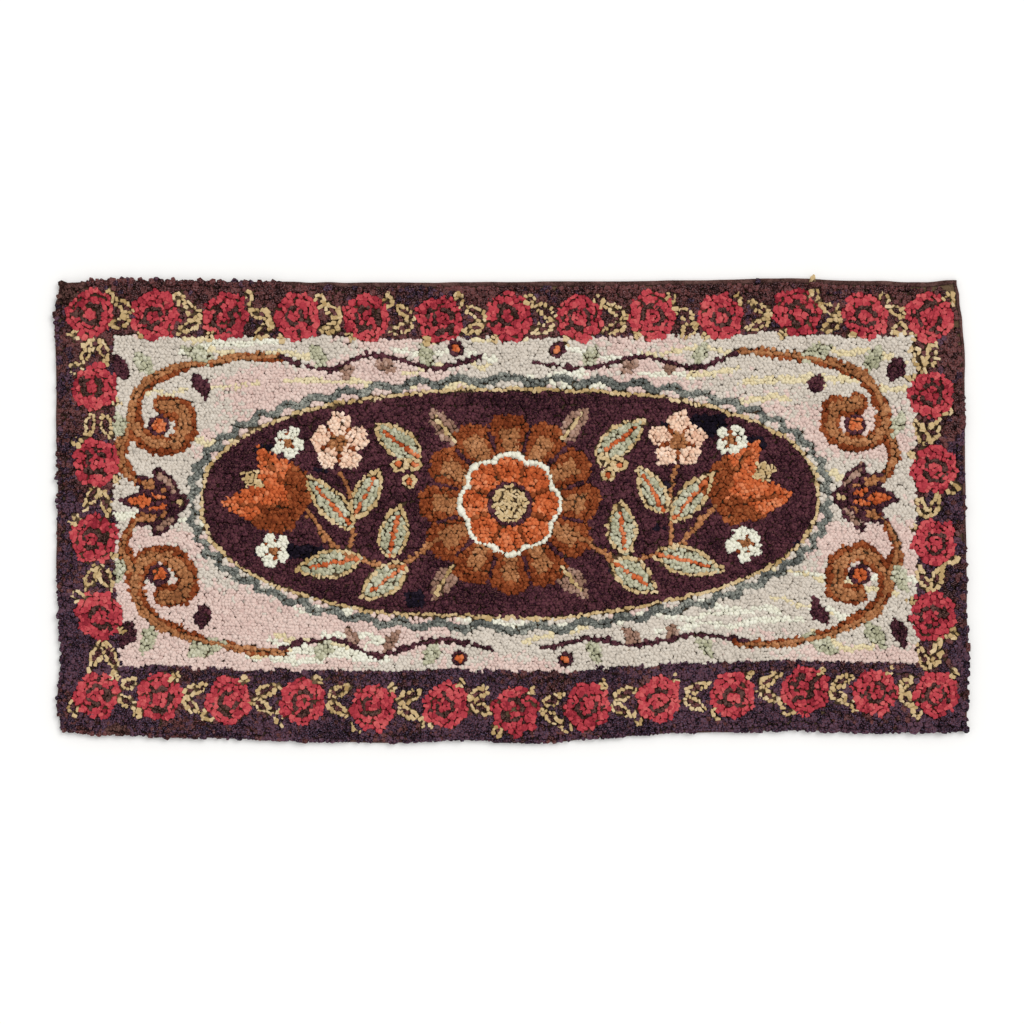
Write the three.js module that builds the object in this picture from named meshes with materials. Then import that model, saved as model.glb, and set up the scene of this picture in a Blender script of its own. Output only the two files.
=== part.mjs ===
// A hooked rug lying flat on the floor: rag strips pulled up in loops through a foundation
// cloth, its rim bound with tape in four lengths mitred at the corners.
// Millimetres, +Z up, +X along the rug. The origin is on the floor under the rug's middle.
import * as THREE from "three";

const { lerp, smoothstep } = THREE.MathUtils;

// Driving dimensions
const RUG_LENGTH = 1300;
const RUG_WIDTH = 662;
const PILE_HEIGHT = 10.5; // from the floor to the mean crown of the loops
const CLUMP_PITCH = 21; // spacing of the clumps of loops over the face
const CLUMP_RELIEF = 1.8; // height between the lowest and highest clump
const RIM_RELIEF = 2.0; // how far clumps at the rim lean out past each other
const SHOULDER_RUN = 3; // plan width of the rounded shoulder of the outermost loops
const CROWN_RUN = 9; // from the outermost loops to the first full crown
const HEM_THICKNESS = 2.4; // the foundation cloth, turned double at its rim
const TAPE_THICKNESS = 1.2;
const TAPE_FOLD = 0.5; // rounding where the tape turns over the rim
const TAPE_ON_FACE = 5; // width of tape turned over to the face
const TAPE_ON_BACK = 22; // width of tape turned under to the back
const FIT_GAP = 0.3; // clearance between neighbouring pieces

// How far in from the tape's outer face the loops end on each side. They lean over the tape
// on three sides and leave it bare along the top.
const PILE_INSET = { left: 0.8, right: 1.8, bottom: 1.2, top: 4.6 };

// How far each edge has drawn in from the full rectangle, at places along it.
const EDGES = {
  top: [
    { along: -640, drawnIn: 6.0 },
    { along: -555, drawnIn: 3.0 },
    { along: -440, drawnIn: 5.0 },
    { along: -160, drawnIn: 6.0 },
    { along: 125, drawnIn: 4.5 },
    { along: 300, drawnIn: 2.5 },
    { along: 400, drawnIn: 0.0 },
    { along: 500, drawnIn: 3.0 },
    { along: 605, drawnIn: 6.0 },
    { along: 640, drawnIn: 2.5 },
  ],
  bottom: [
    { along: -640, drawnIn: 17.0 },
    { along: -585, drawnIn: 12.0 },
    { along: -385, drawnIn: 6.0 },
    { along: -270, drawnIn: 2.0 },
    { along: -185, drawnIn: 0.0 },
    { along: -85, drawnIn: 4.5 },
    { along: 50, drawnIn: 0.5 },
    { along: 125, drawnIn: 7.5 },
    { along: 240, drawnIn: 14.0 },
    { along: 400, drawnIn: 17.5 },
    { along: 540, drawnIn: 14.5 },
    { along: 645, drawnIn: 16.0 },
  ],
  left: [
    { along: -315, drawnIn: 8.0 },
    { along: -295, drawnIn: 2.0 },
    { along: -225, drawnIn: 9.0 },
    { along: -155, drawnIn: 6.0 },
    { along: -90, drawnIn: 1.5 },
    { along: 15, drawnIn: 4.5 },
    { along: 155, drawnIn: 1.5 },
    { along: 285, drawnIn: 0.0 },
    { along: 325, drawnIn: 6.5 },
  ],
  right: [
    { along: -310, drawnIn: 1.5 },
    { along: -205, drawnIn: 0.0 },
    { along: -155, drawnIn: 2.0 },
    { along: 85, drawnIn: 4.0 },
    { along: 205, drawnIn: 4.5 },
    { along: 270, drawnIn: 8.0 },
    { along: 305, drawnIn: 13.0 },
    { along: 326, drawnIn: 17.0 },
  ],
};

// Sizes that follow from those above
const HALF_LENGTH = RUG_LENGTH / 2;
const HALF_WIDTH = RUG_WIDTH / 2;
const COLUMNS = Math.round(RUG_LENGTH / CLUMP_PITCH);
const ROWS = Math.round(RUG_WIDTH / CLUMP_PITCH);
const HEM_BOTTOM = TAPE_THICKNESS + FIT_GAP;
const HEM_TOP = HEM_BOTTOM + HEM_THICKNESS;
const LIP_BOTTOM = HEM_TOP + FIT_GAP;
const LIP_TOP = LIP_BOTTOM + TAPE_THICKNESS;
const PILE_UNDERSIDE = LIP_TOP + FIT_GAP;
const HEM_INSET = TAPE_THICKNESS + FIT_GAP;
const PILE_FOOT_INSET = TAPE_ON_FACE + FIT_GAP + SHOULDER_RUN;
const REBATE_INSET = TAPE_ON_BACK + FIT_GAP;

// Steep waves whose fractions scatter the clumps
const SCATTER_WAVE = { perColumn: 12.9898, perRow: 78.233, height: 43758.5453 };

const PILE_COLOUR = 0x77564c;
const TAPE_COLOUR = 0x4b3632;

/** How far an edge has drawn in at a place along it, eased between the table's rows. */
function drawnInAt(edge, along) {
  const next = edge.findIndex((row) => row.along > along);
  if (next === 0) return edge[0].drawnIn;
  if (next < 0) return edge.at(-1).drawnIn;
  const [from, to] = [edge[next - 1], edge[next]];
  return lerp(from.drawnIn, to.drawnIn, smoothstep(along, from.along, to.along));
}

/** A point of the full rectangle, moved in with the drawn-in edges on either side of it. */
function drawnPoint(x, y, z) {
  const acrossLength = (x + HALF_LENGTH) / RUG_LENGTH;
  const acrossWidth = (y + HALF_WIDTH) / RUG_WIDTH;
  const shiftX = lerp(drawnInAt(EDGES.left, y), -drawnInAt(EDGES.right, y), acrossLength);
  const shiftY = lerp(drawnInAt(EDGES.bottom, x), -drawnInAt(EDGES.top, x), acrossWidth);
  return new THREE.Vector3(x + shiftX, y + shiftY, z);
}

/** The point at shares u along and v across the rectangle that the four insets leave. */
function insetPoint({ u, v }, inset, z) {
  const x = lerp(-HALF_LENGTH + inset.left, HALF_LENGTH - inset.right, u);
  const y = lerp(-HALF_WIDTH + inset.bottom, HALF_WIDTH - inset.top, v);
  return drawnPoint(x, y, z);
}

/** Four equal insets. */
function evenInset(inset) {
  return { left: inset, right: inset, bottom: inset, top: inset };
}

/** Four insets, each grown by the same amount. */
function grownInset(inset, growth) {
  const grown = Object.entries(inset).map(([side, value]) => [side, value + growth]);
  return Object.fromEntries(grown);
}

/** A repeatable scatter between -0.5 and 0.5 for a column and row of the face. */
function scatter(column, row) {
  const { perColumn, perRow, height } = SCATTER_WAVE;
  const wave = height * Math.sin(column * perColumn + row * perRow);
  return wave - Math.floor(wave) - 0.5;
}

/** The clumps of the face that lie on its rim, counter-clockwise from the bottom left. */
function rimClumps() {
  const rim = [];
  for (let column = 0; column < COLUMNS; column++) rim.push({ column, row: 0 });
  for (let row = 0; row < ROWS; row++) rim.push({ column: COLUMNS, row });
  for (let column = COLUMNS; column > 0; column--) rim.push({ column, row: ROWS });
  for (let row = ROWS; row > 0; row--) rim.push({ column: 0, row });
  return rim;
}

/** Where a clump lies, as shares along and across the rug. */
function shareOf({ column, row }) {
  return { u: column / COLUMNS, v: row / ROWS };
}

/** Two triangles for each step between two rows of point numbers. */
function strip(lower, upper, closed) {
  const faces = [];
  const steps = closed ? lower.length : lower.length - 1;
  for (let step = 0; step < steps; step++) {
    const after = (step + 1) % lower.length;
    faces.push(lower[step], lower[after], upper[after]);
    faces.push(lower[step], upper[after], upper[step]);
  }
  return faces;
}

/** Triangles over a flat outline, counter-clockwise in the outline's plane, or turned over. */
function flatCap(outline, numbers, turned) {
  const faces = THREE.ShapeUtils.triangulateShape(outline, []);
  const clockwise = THREE.ShapeUtils.area(faces[0].map((corner) => outline[corner])) < 0;
  const flip = clockwise !== turned;
  return faces.flatMap(([a, b, c]) => (flip ? [c, b, a] : [a, b, c]).map((n) => numbers[n]));
}

/** A geometry of these points and triangles. */
function skin(points, faces) {
  const geometry = new THREE.BufferGeometry().setFromPoints(points);
  geometry.setIndex(faces);
  geometry.computeVertexNormals();
  return geometry;
}

/** The hooked cloth: a hem that goes into the tape, loops above it and a flat back. */
function hookedPileGeometry() {
  const rim = rimClumps();
  const points = [];
  const addRing = (insetOf, z) =>
    rim.map((clump) => points.push(insetPoint(shareOf(clump), insetOf(clump), z)) - 1);
  const plainRing = (inset, z) => addRing(() => evenInset(inset), z);
  const pileRing = (run, z) => {
    const lean = ({ column, row }) => run + RIM_RELIEF * scatter(column, row);
    return addRing((clump) => grownInset(PILE_INSET, lean(clump)), z);
  };
  const bulgeHeight = (PILE_HEIGHT + PILE_UNDERSIDE) / 2;
  const rings = [
    plainRing(REBATE_INSET, 0),
    plainRing(REBATE_INSET, HEM_BOTTOM),
    plainRing(HEM_INSET, HEM_BOTTOM),
    plainRing(HEM_INSET, HEM_TOP),
    plainRing(PILE_FOOT_INSET, HEM_TOP),
    plainRing(PILE_FOOT_INSET, PILE_UNDERSIDE),
    pileRing(RIM_RELIEF / 2, PILE_UNDERSIDE),
    pileRing(RIM_RELIEF / 2, bulgeHeight),
    pileRing(SHOULDER_RUN, PILE_HEIGHT - CLUMP_RELIEF / 2),
  ];

  const face = [];
  for (let row = 0; row <= ROWS; row++) {
    face.push([]);
    for (let column = 0; column <= COLUMNS; column++) {
      const crown = PILE_HEIGHT + CLUMP_RELIEF * scatter(column + ROWS, row + COLUMNS);
      const inset = grownInset(PILE_INSET, CROWN_RUN);
      face[row].push(points.push(insetPoint(shareOf({ column, row }), inset, crown)) - 1);
    }
  }
  rings.push(rim.map(({ column, row }) => face[row][column]));

  const backOutline = rings[0].map((number) => new THREE.Vector2(points[number].x, points[number].y));
  const faces = flatCap(backOutline, rings[0], true);
  for (let ring = 1; ring < rings.length; ring++) faces.push(...strip(rings[ring - 1], rings[ring], true));
  for (let row = 1; row <= ROWS; row++) faces.push(...strip(face[row - 1], face[row], false));
  return skin(points, faces);
}

/** The tape's section as inset and height: back flap, fold round the rim and lip on the face. */
function tapeSection() {
  return [
    new THREE.Vector2(TAPE_FOLD, 0),
    new THREE.Vector2(0, TAPE_FOLD),
    new THREE.Vector2(0, LIP_TOP - TAPE_FOLD),
    new THREE.Vector2(TAPE_FOLD, LIP_TOP),
    new THREE.Vector2(TAPE_ON_FACE, LIP_TOP),
    new THREE.Vector2(TAPE_ON_FACE, LIP_BOTTOM),
    new THREE.Vector2(TAPE_THICKNESS, LIP_BOTTOM),
    new THREE.Vector2(TAPE_THICKNESS, TAPE_THICKNESS),
    new THREE.Vector2(TAPE_ON_BACK, TAPE_THICKNESS),
    new THREE.Vector2(TAPE_ON_BACK, 0),
  ];
}

/** One length of tape along the rim clumps of a side, with mitred ends. */
function tapeGeometry(side, clumps) {
  const section = tapeSection();
  const runsAlongX = side === "top" || side === "bottom";
  const ends = runsAlongX ? ["left", "right"] : ["bottom", "top"];
  const points = [];
  const stations = clumps.map((clump) =>
    section.map(({ x: inset, y: height }) => {
      const insets = evenInset(inset);
      for (const end of ends) insets[end] += FIT_GAP;
      return points.push(insetPoint(shareOf(clump), insets, height)) - 1;
    }),
  );
  const faces = [...flatCap(section, stations[0], true), ...flatCap(section, stations.at(-1), false)];
  for (let corner = 0; corner < section.length; corner++) {
    const edge = stations.map((station) => station[corner]);
    const nextEdge = stations.map((station) => station[(corner + 1) % section.length]);
    faces.push(...strip(edge, nextEdge, false));
  }
  return skin(points, faces);
}

/** The rim clumps of each side, corner to corner, in the rim's own order. */
function sides() {
  const rim = [...rimClumps(), { column: 0, row: 0 }];
  const corners = [0, COLUMNS, COLUMNS + ROWS, 2 * COLUMNS + ROWS, rim.length - 1];
  return ["bottom", "right", "top", "left"].map((side, number) => ({
    side,
    clumps: rim.slice(corners[number], corners[number + 1] + 1),
  }));
}

const pileMaterial = new THREE.MeshStandardMaterial({ color: PILE_COLOUR, roughness: 0.95, metalness: 0 });
const tapeMaterial = new THREE.MeshStandardMaterial({ color: TAPE_COLOUR, roughness: 0.9, metalness: 0 });

const rug = new THREE.Group();
const hookedPile = new THREE.Mesh(hookedPileGeometry(), pileMaterial);
hookedPile.name = "hooked_pile";
rug.add(hookedPile);

for (const { side, clumps } of sides()) {
  const tape = new THREE.Mesh(tapeGeometry(side, clumps), tapeMaterial.clone());
  tape.name = `binding_${side}`;
  rug.add(tape);
}

export default rug;
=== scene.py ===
"""Dresses a hooked rug loop by loop: foundation cloth, rag loops, bound edge and studio.

The rug is laid out in millimetres on its full rectangle, with the origin under its middle, and
then drawn in with its uneven edges. Meshes are made in metres.
"""

import logging
import math
from collections.abc import Callable, Sequence
from dataclasses import dataclass, field
from enum import Enum
from typing import NamedTuple

import bpy
import numpy as np
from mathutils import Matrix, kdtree


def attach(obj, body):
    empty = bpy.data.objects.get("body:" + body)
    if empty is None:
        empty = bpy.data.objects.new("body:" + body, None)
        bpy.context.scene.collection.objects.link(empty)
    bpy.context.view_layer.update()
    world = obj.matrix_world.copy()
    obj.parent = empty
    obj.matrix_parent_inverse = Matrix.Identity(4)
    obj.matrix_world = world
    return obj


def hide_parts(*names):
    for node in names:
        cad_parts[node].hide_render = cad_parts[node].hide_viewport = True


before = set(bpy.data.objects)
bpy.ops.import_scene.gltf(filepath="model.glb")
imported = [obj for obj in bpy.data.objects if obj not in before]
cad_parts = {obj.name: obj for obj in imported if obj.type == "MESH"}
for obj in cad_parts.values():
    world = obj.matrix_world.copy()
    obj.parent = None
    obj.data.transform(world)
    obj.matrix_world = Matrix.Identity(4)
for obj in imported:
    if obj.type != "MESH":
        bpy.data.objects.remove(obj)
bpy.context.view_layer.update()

MM = 0.001
SEED = 41
LOG = logging.getLogger("hooked_rug")

BODY = "root"
STRIP_MAP = "strip"
BAKE_MAP = "OFBake"
TONE = "strip_tone"
CROWN = "strip_crown"

Array = np.ndarray
Draws = np.random.Generator
Pair = tuple[float, float]
Piece = bpy.types.Object
Rule = Callable[[Array], Array]
Socket = bpy.types.NodeSocket


class Lot(Enum):
    """The lots of rag strips that the rug is hooked with."""

    BORDER_BROWN = "border_brown"
    BORDER_BLACK = "border_black"
    PLUM_GROUND = "plum_ground"
    MIDNIGHT = "midnight"
    ROSE_RED = "rose_red"
    OLIVE_BROWN = "olive_brown"
    STRAW = "straw"
    PALE_PINK = "pale_pink"
    PALE_GREY = "pale_grey"
    CREAM = "cream"
    BUTTER = "butter"
    RUSSET_DARK = "russet_dark"
    RUSSET_LIGHT = "russet_light"
    TERRACOTTA = "terracotta"
    SAGE = "sage"
    BLUE_GREY = "blue_grey"
    TAUPE = "taupe"
    PEACH = "peach"


LOTS = list(Lot)
LOT_NUMBER = {lot: number for number, lot in enumerate(LOTS)}


def linear(code: str) -> tuple[float, ...]:
    """Turns a six-digit sRGB code into a linear colour with full alpha."""
    shares = [int(code[start:start + 2], 16) / 255 for start in (0, 2, 4)]
    return *(s / 12.92 if s <= 0.04045 else ((s + 0.055) / 1.055) ** 2.4 for s in shares), 1.0


def eased(share: Array) -> Array:
    """Eases shares between 0 and 1 in and out."""
    return share * share * (3 - 2 * share)


# Outline of the rug


@dataclass(frozen=True)
class DrawnEdge:
    """One edge of the rug: distances along it, each with how far it has drawn in there."""

    rows: tuple[Pair, ...]

    def at(self, places: Array) -> Array:
        """Eases between the rows on either side of each place.

        Args:
            places: Distances along the edge from its middle.

        Returns:
            How far the edge has drawn in at each place.
        """
        along, inward = np.array(self.rows).T
        after = np.clip(np.searchsorted(along, places, side="right"), 1, len(along) - 1)
        run = along[after] - along[after - 1]
        share = np.clip((places - along[after - 1]) / run, 0, 1)
        return inward[after - 1] + (inward[after] - inward[after - 1]) * eased(share)


@dataclass(frozen=True)
class RugOutline:
    """The rug's full rectangle and its four drawn-in edges, as the part has them."""

    length: float = 1300.0
    width: float = 662.0
    top: DrawnEdge = DrawnEdge((
        (-640, 6.0), (-555, 3.0), (-440, 5.0), (-160, 6.0), (125, 4.5),
        (300, 2.5), (400, 0.0), (500, 3.0), (605, 6.0), (640, 2.5),
    ))
    bottom: DrawnEdge = DrawnEdge((
        (-640, 17.0), (-585, 12.0), (-385, 6.0), (-270, 2.0), (-185, 0.0),
        (-85, 4.5), (50, 0.5), (125, 7.5), (240, 14.0), (400, 17.5),
        (540, 14.5), (645, 16.0),
    ))
    left: DrawnEdge = DrawnEdge((
        (-315, 8.0), (-295, 2.0), (-225, 9.0), (-155, 6.0), (-90, 1.5),
        (15, 4.5), (155, 1.5), (285, 0.0), (325, 6.5),
    ))
    right: DrawnEdge = DrawnEdge((
        (-310, 1.5), (-205, 0.0), (-155, 2.0), (85, 4.0), (205, 4.5),
        (270, 8.0), (305, 13.0), (326, 17.0),
    ))

    @property
    def half(self) -> Array:
        """Half the full rectangle's length and width."""
        return np.array([self.length, self.width]) / 2

    def drawn(self, flat: Array) -> Array:
        """Moves points of the full rectangle in with its edges.

        Args:
            flat: Points on the full rectangle, one to a row.

        Returns:
            Where those points lie on the rug.
        """
        x, y = flat.T
        across_x, across_y = (flat / (2 * self.half) + 0.5).T
        shift_x = self.left.at(y) * (1 - across_x) - self.right.at(y) * across_x
        shift_y = self.bottom.at(x) * (1 - across_y) - self.top.at(x) * across_y
        return np.column_stack([x + shift_x, y + shift_y])


OUTLINE = RugOutline()


# Paths, shapes and scatter


class ValueNoise:
    """A smooth scatter of values between 0 and 1 over the rug."""

    TABLE = 97

    def __init__(self, rng: Draws, cell: Pair) -> None:
        """Draws the values; patches of like value are as long and wide as the cell."""
        self.values = rng.random((self.TABLE, self.TABLE))
        self.cell = np.array(cell)

    def at(self, points: Array) -> Array:
        """Reads the scatter.

        Args:
            points: Points on the rug, one to a row.

        Returns:
            A value between 0 and 1 for each point.
        """
        scaled = points / self.cell + self.TABLE
        whole = np.floor(scaled).astype(int)
        share_x, share_y = eased(scaled - whole).T
        column, row = (whole % self.TABLE).T
        next_column = (column + 1) % self.TABLE
        next_row = (row + 1) % self.TABLE
        low = self.values[row, column] * (1 - share_x) + self.values[row, next_column] * share_x
        high = self.values[next_row, column] * (1 - share_x) + self.values[next_row, next_column] * share_x
        return low * (1 - share_y) + high * share_y


def smooth_path(knots: Sequence[Pair], per_span: int = 12) -> Array:
    """Runs a smooth curve through knots.

    Args:
        knots: Points that the curve passes through.
        per_span: Steps between neighbouring knots.

    Returns:
        Points along the curve, one to a row.
    """
    inner = np.array(knots, dtype=float)
    padded = np.vstack([2 * inner[0] - inner[1], inner, 2 * inner[-1] - inner[-2]])
    t = np.linspace(0, 1, per_span, endpoint=False)[:, None]
    spans = []
    for before, start, end, after in zip(padded, padded[1:], padded[2:], padded[3:]):
        bend = 2 * before - 5 * start + 4 * end - after
        turn = 3 * start - before - 3 * end + after
        spans.append(0.5 * (2 * start + (end - before) * t + bend * t**2 + turn * t**3))
    return np.vstack([*spans, inner[-1:]])


def ring_path(centre: Pair, radius: Rule,
              start: float = 0.0, sweep: float = 2 * math.pi, steps: int = 72) -> Array:
    """Runs a path round a centre.

    Args:
        centre: The centre.
        radius: The radius at each angle.
        start: First angle, in radians.
        sweep: How far round the path goes, in radians.
        steps: How many steps it takes.

    Returns:
        Points along the path, one to a row.
    """
    angles = start + np.linspace(0, sweep, steps + 1)
    reach = radius(angles)
    return np.column_stack([centre[0] + reach * np.cos(angles), centre[1] + reach * np.sin(angles)])


def spaced(path: Array, pitch: float) -> tuple[Array, Array]:
    """Steps along a path.

    Args:
        path: Points along the path.
        pitch: Wanted distance between steps.

    Returns:
        Evenly spaced places, and the path's heading at each, in radians.
    """
    steps = np.diff(path, axis=0)
    run = np.concatenate([[0.0], np.cumsum(np.hypot(*steps.T))])
    count = max(1, round(run[-1] / pitch))
    at = (np.arange(count) + 0.5) * run[-1] / count
    places = np.column_stack([np.interp(at, run, path[:, 0]), np.interp(at, run, path[:, 1])])
    span = np.clip(np.searchsorted(run, at) - 1, 0, len(steps) - 1)
    return places, np.arctan2(steps[span, 1], steps[span, 0])


def turned(points: Array, angle: float) -> Array:
    """Turns points about the origin by an angle in radians."""
    cosine, sine = math.cos(angle), math.sin(angle)
    return points @ np.array([[cosine, sine], [-sine, cosine]])


def unit(angle: float) -> Array:
    """The step of length 1 in the direction of an angle in radians."""
    return np.array([math.cos(angle), math.sin(angle)])


def polar(points: Array, centre: Sequence[float]) -> tuple[Array, Array]:
    """How far points lie from a centre, and at what angles."""
    x, y = (points - np.array(centre)).T
    return np.hypot(x, y), np.arctan2(y, x)


def round_reach(radius: float) -> Rule:
    """The reach of a circle, which is the same at every angle."""
    return lambda angles: np.full_like(angles, radius)


def disc_test(centre: Sequence[float], reach: Rule) -> Rule:
    """Makes the test of whether points lie round a centre.

    Args:
        centre: The centre.
        reach: How far from it they may lie, by angle.

    Returns:
        The test.
    """
    def covers(points: Array) -> Array:
        """Whether points lie within reach."""
        distance, angles = polar(points, centre)
        return distance < reach(angles)
    return covers


def stroke_test(path: Array, radii: Array) -> Rule:
    """Makes the test of whether points lie on a stroke.

    Args:
        path: Points along the stroke's middle.
        radii: Half the stroke's width at each of those.

    Returns:
        The test.
    """
    low, high = path.min(axis=0) - radii.max(), path.max(axis=0) + radii.max()

    def covers(points: Array) -> Array:
        """Tests points.

        Args:
            points: Points on the rug.

        Returns:
            Whether each lies on the stroke.
        """
        found = np.zeros(len(points), dtype=bool)
        close = np.all((points > low) & (points < high), axis=1)
        for place, radius in zip(path, radii):
            found[close] |= polar(points[close], place)[0] < radius
        return found
    return covers


# Motifs of the design


@dataclass(frozen=True)
class RagLine:
    """A row of loops hooked along a path, straying from it by about its sway."""

    path: Array
    lot: Lot
    pitch: float = 5.8
    sway: float = 0.0


@dataclass(frozen=True)
class Patch:
    """An area filled with loops of one lot."""

    covers: Rule
    lot: Lot


class Motif:
    """A figure of the design: patches to fill, and lines hooked before the filling."""

    def patches(self) -> list[Patch]:
        """The areas that the motif fills, later ones over earlier ones."""
        return []

    def lines(self) -> list[RagLine]:
        """The rows of loops that draw the motif."""
        return []


class Arc(NamedTuple):
    """A dark arc on a rose: its share of the radius, first angle and sweep."""

    share: float
    start: float
    sweep: float


class Parting(NamedTuple):
    """A dark parting between a rose's petals: its angle, and the shares of the radius it spans."""

    angle: float
    start: float
    end: float


@dataclass
class Rose(Motif):
    """A round red rose hooked in rings: a knob, dark arcs round it and partings between petals."""

    centre: Array
    radius: float
    petals: int
    phase: float
    knob: Array
    ring: float
    arcs: list[Arc]
    partings: list[Parting]

    WAVE = 0.06
    VEIN_PITCH = 5.2
    RED_PITCH = 5.6
    RED_SWAY = 0.9
    RIM_INSET = 3.0
    RING_STEP = 0.165
    STRETCH = 0.028

    def reach(self, angles: Array) -> Array:
        """The rose's radius at each angle: waved by its petals, and longer across the rug."""
        wave = 1 + self.WAVE * np.cos(self.petals * (angles - self.phase))
        return self.radius * wave * (1 - self.STRETCH * np.cos(2 * angles))

    def patches(self) -> list[Patch]:
        """The red disc."""
        return [Patch(disc_test(self.centre, self.reach), Lot.ROSE_RED)]

    def ring_at(self, share: float, start: float, sweep: float = 2 * math.pi) -> Array:
        """A ring at a share of the radius, set off the middle towards the knob."""
        heart = self.centre + self.knob * (1 - share)
        return ring_path(tuple(heart), lambda angles: share * self.reach(angles), start, sweep)

    def lines(self) -> list[RagLine]:
        """Draws the rose.

        Returns:
            The dark arcs and partings, then the red rings.
        """
        paths = [self.ring_at(*arc) for arc in self.arcs]
        for angle, *shares in self.partings:
            ray, heart = unit(angle) * self.radius, self.centre
            paths.append(np.array([heart + self.knob * (1 - share) + ray * share for share in shares]))
        lines = [RagLine(path, Lot.OLIVE_BROWN, self.VEIN_PITCH) for path in paths]
        rim = 1 - self.RIM_INSET / self.radius
        inner = np.arange(self.ring - self.RING_STEP, rim - self.RING_STEP / 2, self.RING_STEP)
        for share in (rim, *inner):
            path = self.ring_at(share, self.phase)
            lines.append(RagLine(path, Lot.ROSE_RED, self.RED_PITCH, self.RED_SWAY))
        return lines


class Blade(NamedTuple):
    """A leaf blade's foot and tip, in shares of a box's half width and half height."""

    foot: Pair
    tip: Pair


# Leaves of the border, charted in shares of a box's half width and half height, with the first
# number along the border and the second out towards the rug's edge.
LEAF_PAIRS = (
    (Blade((0.78, 0.08), (-0.84, 0.86)), Blade((0.80, -0.14), (-0.80, -0.84))),
    (Blade((0.84, 0.14), (-0.62, 0.98)), Blade((0.70, -0.14), (-0.92, -0.66))),
    (Blade((0.66, 0.12), (-0.92, 0.62)), Blade((0.88, -0.18), (-0.58, -0.98))),
    (Blade((0.80, 0.26), (-0.80, 0.80)), Blade((0.72, -0.30), (-0.84, -0.78))),
)
LEAF_HOOKS = (
    (((-0.70, 0.15), (-0.40, 0.75), (0.20, 0.90), (0.65, 0.40), (0.50, -0.25), (0.15, -0.80)),),
    (((-0.75, 0.55), (-0.15, 0.70), (0.20, 0.10), (0.15, -0.80)), ((0.20, 0.15), (0.70, 0.60))),
    (((-0.60, -0.10), (-0.35, 0.60), (0.10, 0.85)), ((0.65, 0.65), (0.60, -0.10), (0.20, -0.75))),
)
ROSE_TUFT = (
    ((-0.60, 0.58), (0.70, 0.62)), ((-0.90, 0.00), (0.90, 0.05)), ((-0.55, -0.58), (0.50, -0.62)),
)


@dataclass
class LeafCurl(Motif):
    """Straw-coloured leaf strokes, set in a box and turned to face out of the rug."""

    strokes: tuple[tuple[Pair, ...], ...]
    centre: Array
    half: Pair
    facing: float

    PITCH = 5.2
    SWAY = 0.7

    def lines(self) -> list[RagLine]:
        """Draws the strokes.

        Returns:
            One uneven row of long loops to each.
        """
        lines = []
        for stroke in self.strokes:
            local = smooth_path(stroke) * np.array(self.half)
            path = turned(local, self.facing - math.pi / 2) + self.centre
            lines.append(RagLine(path, Lot.STRAW, self.PITCH, self.SWAY))
        return lines


@dataclass
class Leaf(Motif):
    """A pointed leaf with a midrib, and an outline where one is named."""

    base: Pair
    tip: Pair
    width: float
    lot: Lot = Lot.SAGE
    rib: Lot | None = Lot.TERRACOTTA
    outline: Lot | None = None
    outline_pitch: float = 5.8
    outline_sway: float = 0.0

    RIB_SPAN = (0.06, 0.80)
    OUTLINE_SPAN = (0.03, 1.0)
    OUTLINE_STEPS = 30
    FULLEST = 0.85

    def half_width(self, share: Array) -> Array:
        """Half the leaf's width at a share of its length."""
        return self.width / 2 * np.sin(np.pi * np.clip(share, 0, 1) ** self.FULLEST)

    def local(self, points: Array) -> tuple[Array, Array]:
        """Measures points along and across the leaf.

        Args:
            points: Points on the rug.

        Returns:
            Share of the length along the leaf, and distance across it.
        """
        base = np.array(self.base)
        axis = np.array(self.tip) - base
        length = np.hypot(*axis)
        along, across = axis / length, np.array([-axis[1], axis[0]]) / length
        return (points - base) @ along / length, (points - base) @ across

    def patches(self) -> list[Patch]:
        """Fills the leaf.

        Returns:
            The blade.
        """
        def covers(points: Array) -> Array:
            """Whether points lie on the blade."""
            share, across = self.local(points)
            return (share > 0) & (share < 1) & (np.abs(across) < self.half_width(share))
        return [Patch(covers, self.lot)]

    def lines(self) -> list[RagLine]:
        """Draws the leaf.

        Returns:
            The midrib, and the outline down both sides.
        """
        base, axis = np.array(self.base), np.array(self.tip) - np.array(self.base)
        lines = []
        if self.rib:
            lines.append(RagLine(np.array([base + axis * share for share in self.RIB_SPAN]), self.rib))
        if self.outline:
            share = np.linspace(*self.OUTLINE_SPAN, self.OUTLINE_STEPS)
            side = np.array([-axis[1], axis[0]]) / np.hypot(*axis)
            for sign in (-1, 1):
                edge = base + share[:, None] * axis + sign * self.half_width(share)[:, None] * side
                lines.append(RagLine(edge, self.outline, self.outline_pitch, self.outline_sway))
        return lines


def partings(flower: "Dahlia | Blossom", petals: int, phase: float, span: Pair,
             lot: Lot) -> list[RagLine]:
    """Draws short rows between a flower's petals.

    Args:
        flower: The flower.
        petals: How many petals lie round it.
        phase: The angle of its first petal, in radians.
        span: Where the rows start and end, in radii.
        lot: What they are hooked with.

    Returns:
        One row between each two petals.
    """
    rows = []
    for petal in range(petals):
        ray = unit(phase + 2 * math.pi * (petal + 0.5) / petals) * flower.radius
        rows.append(RagLine(np.array([np.array(flower.centre) + ray * share for share in span]), lot))
    return rows


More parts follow.
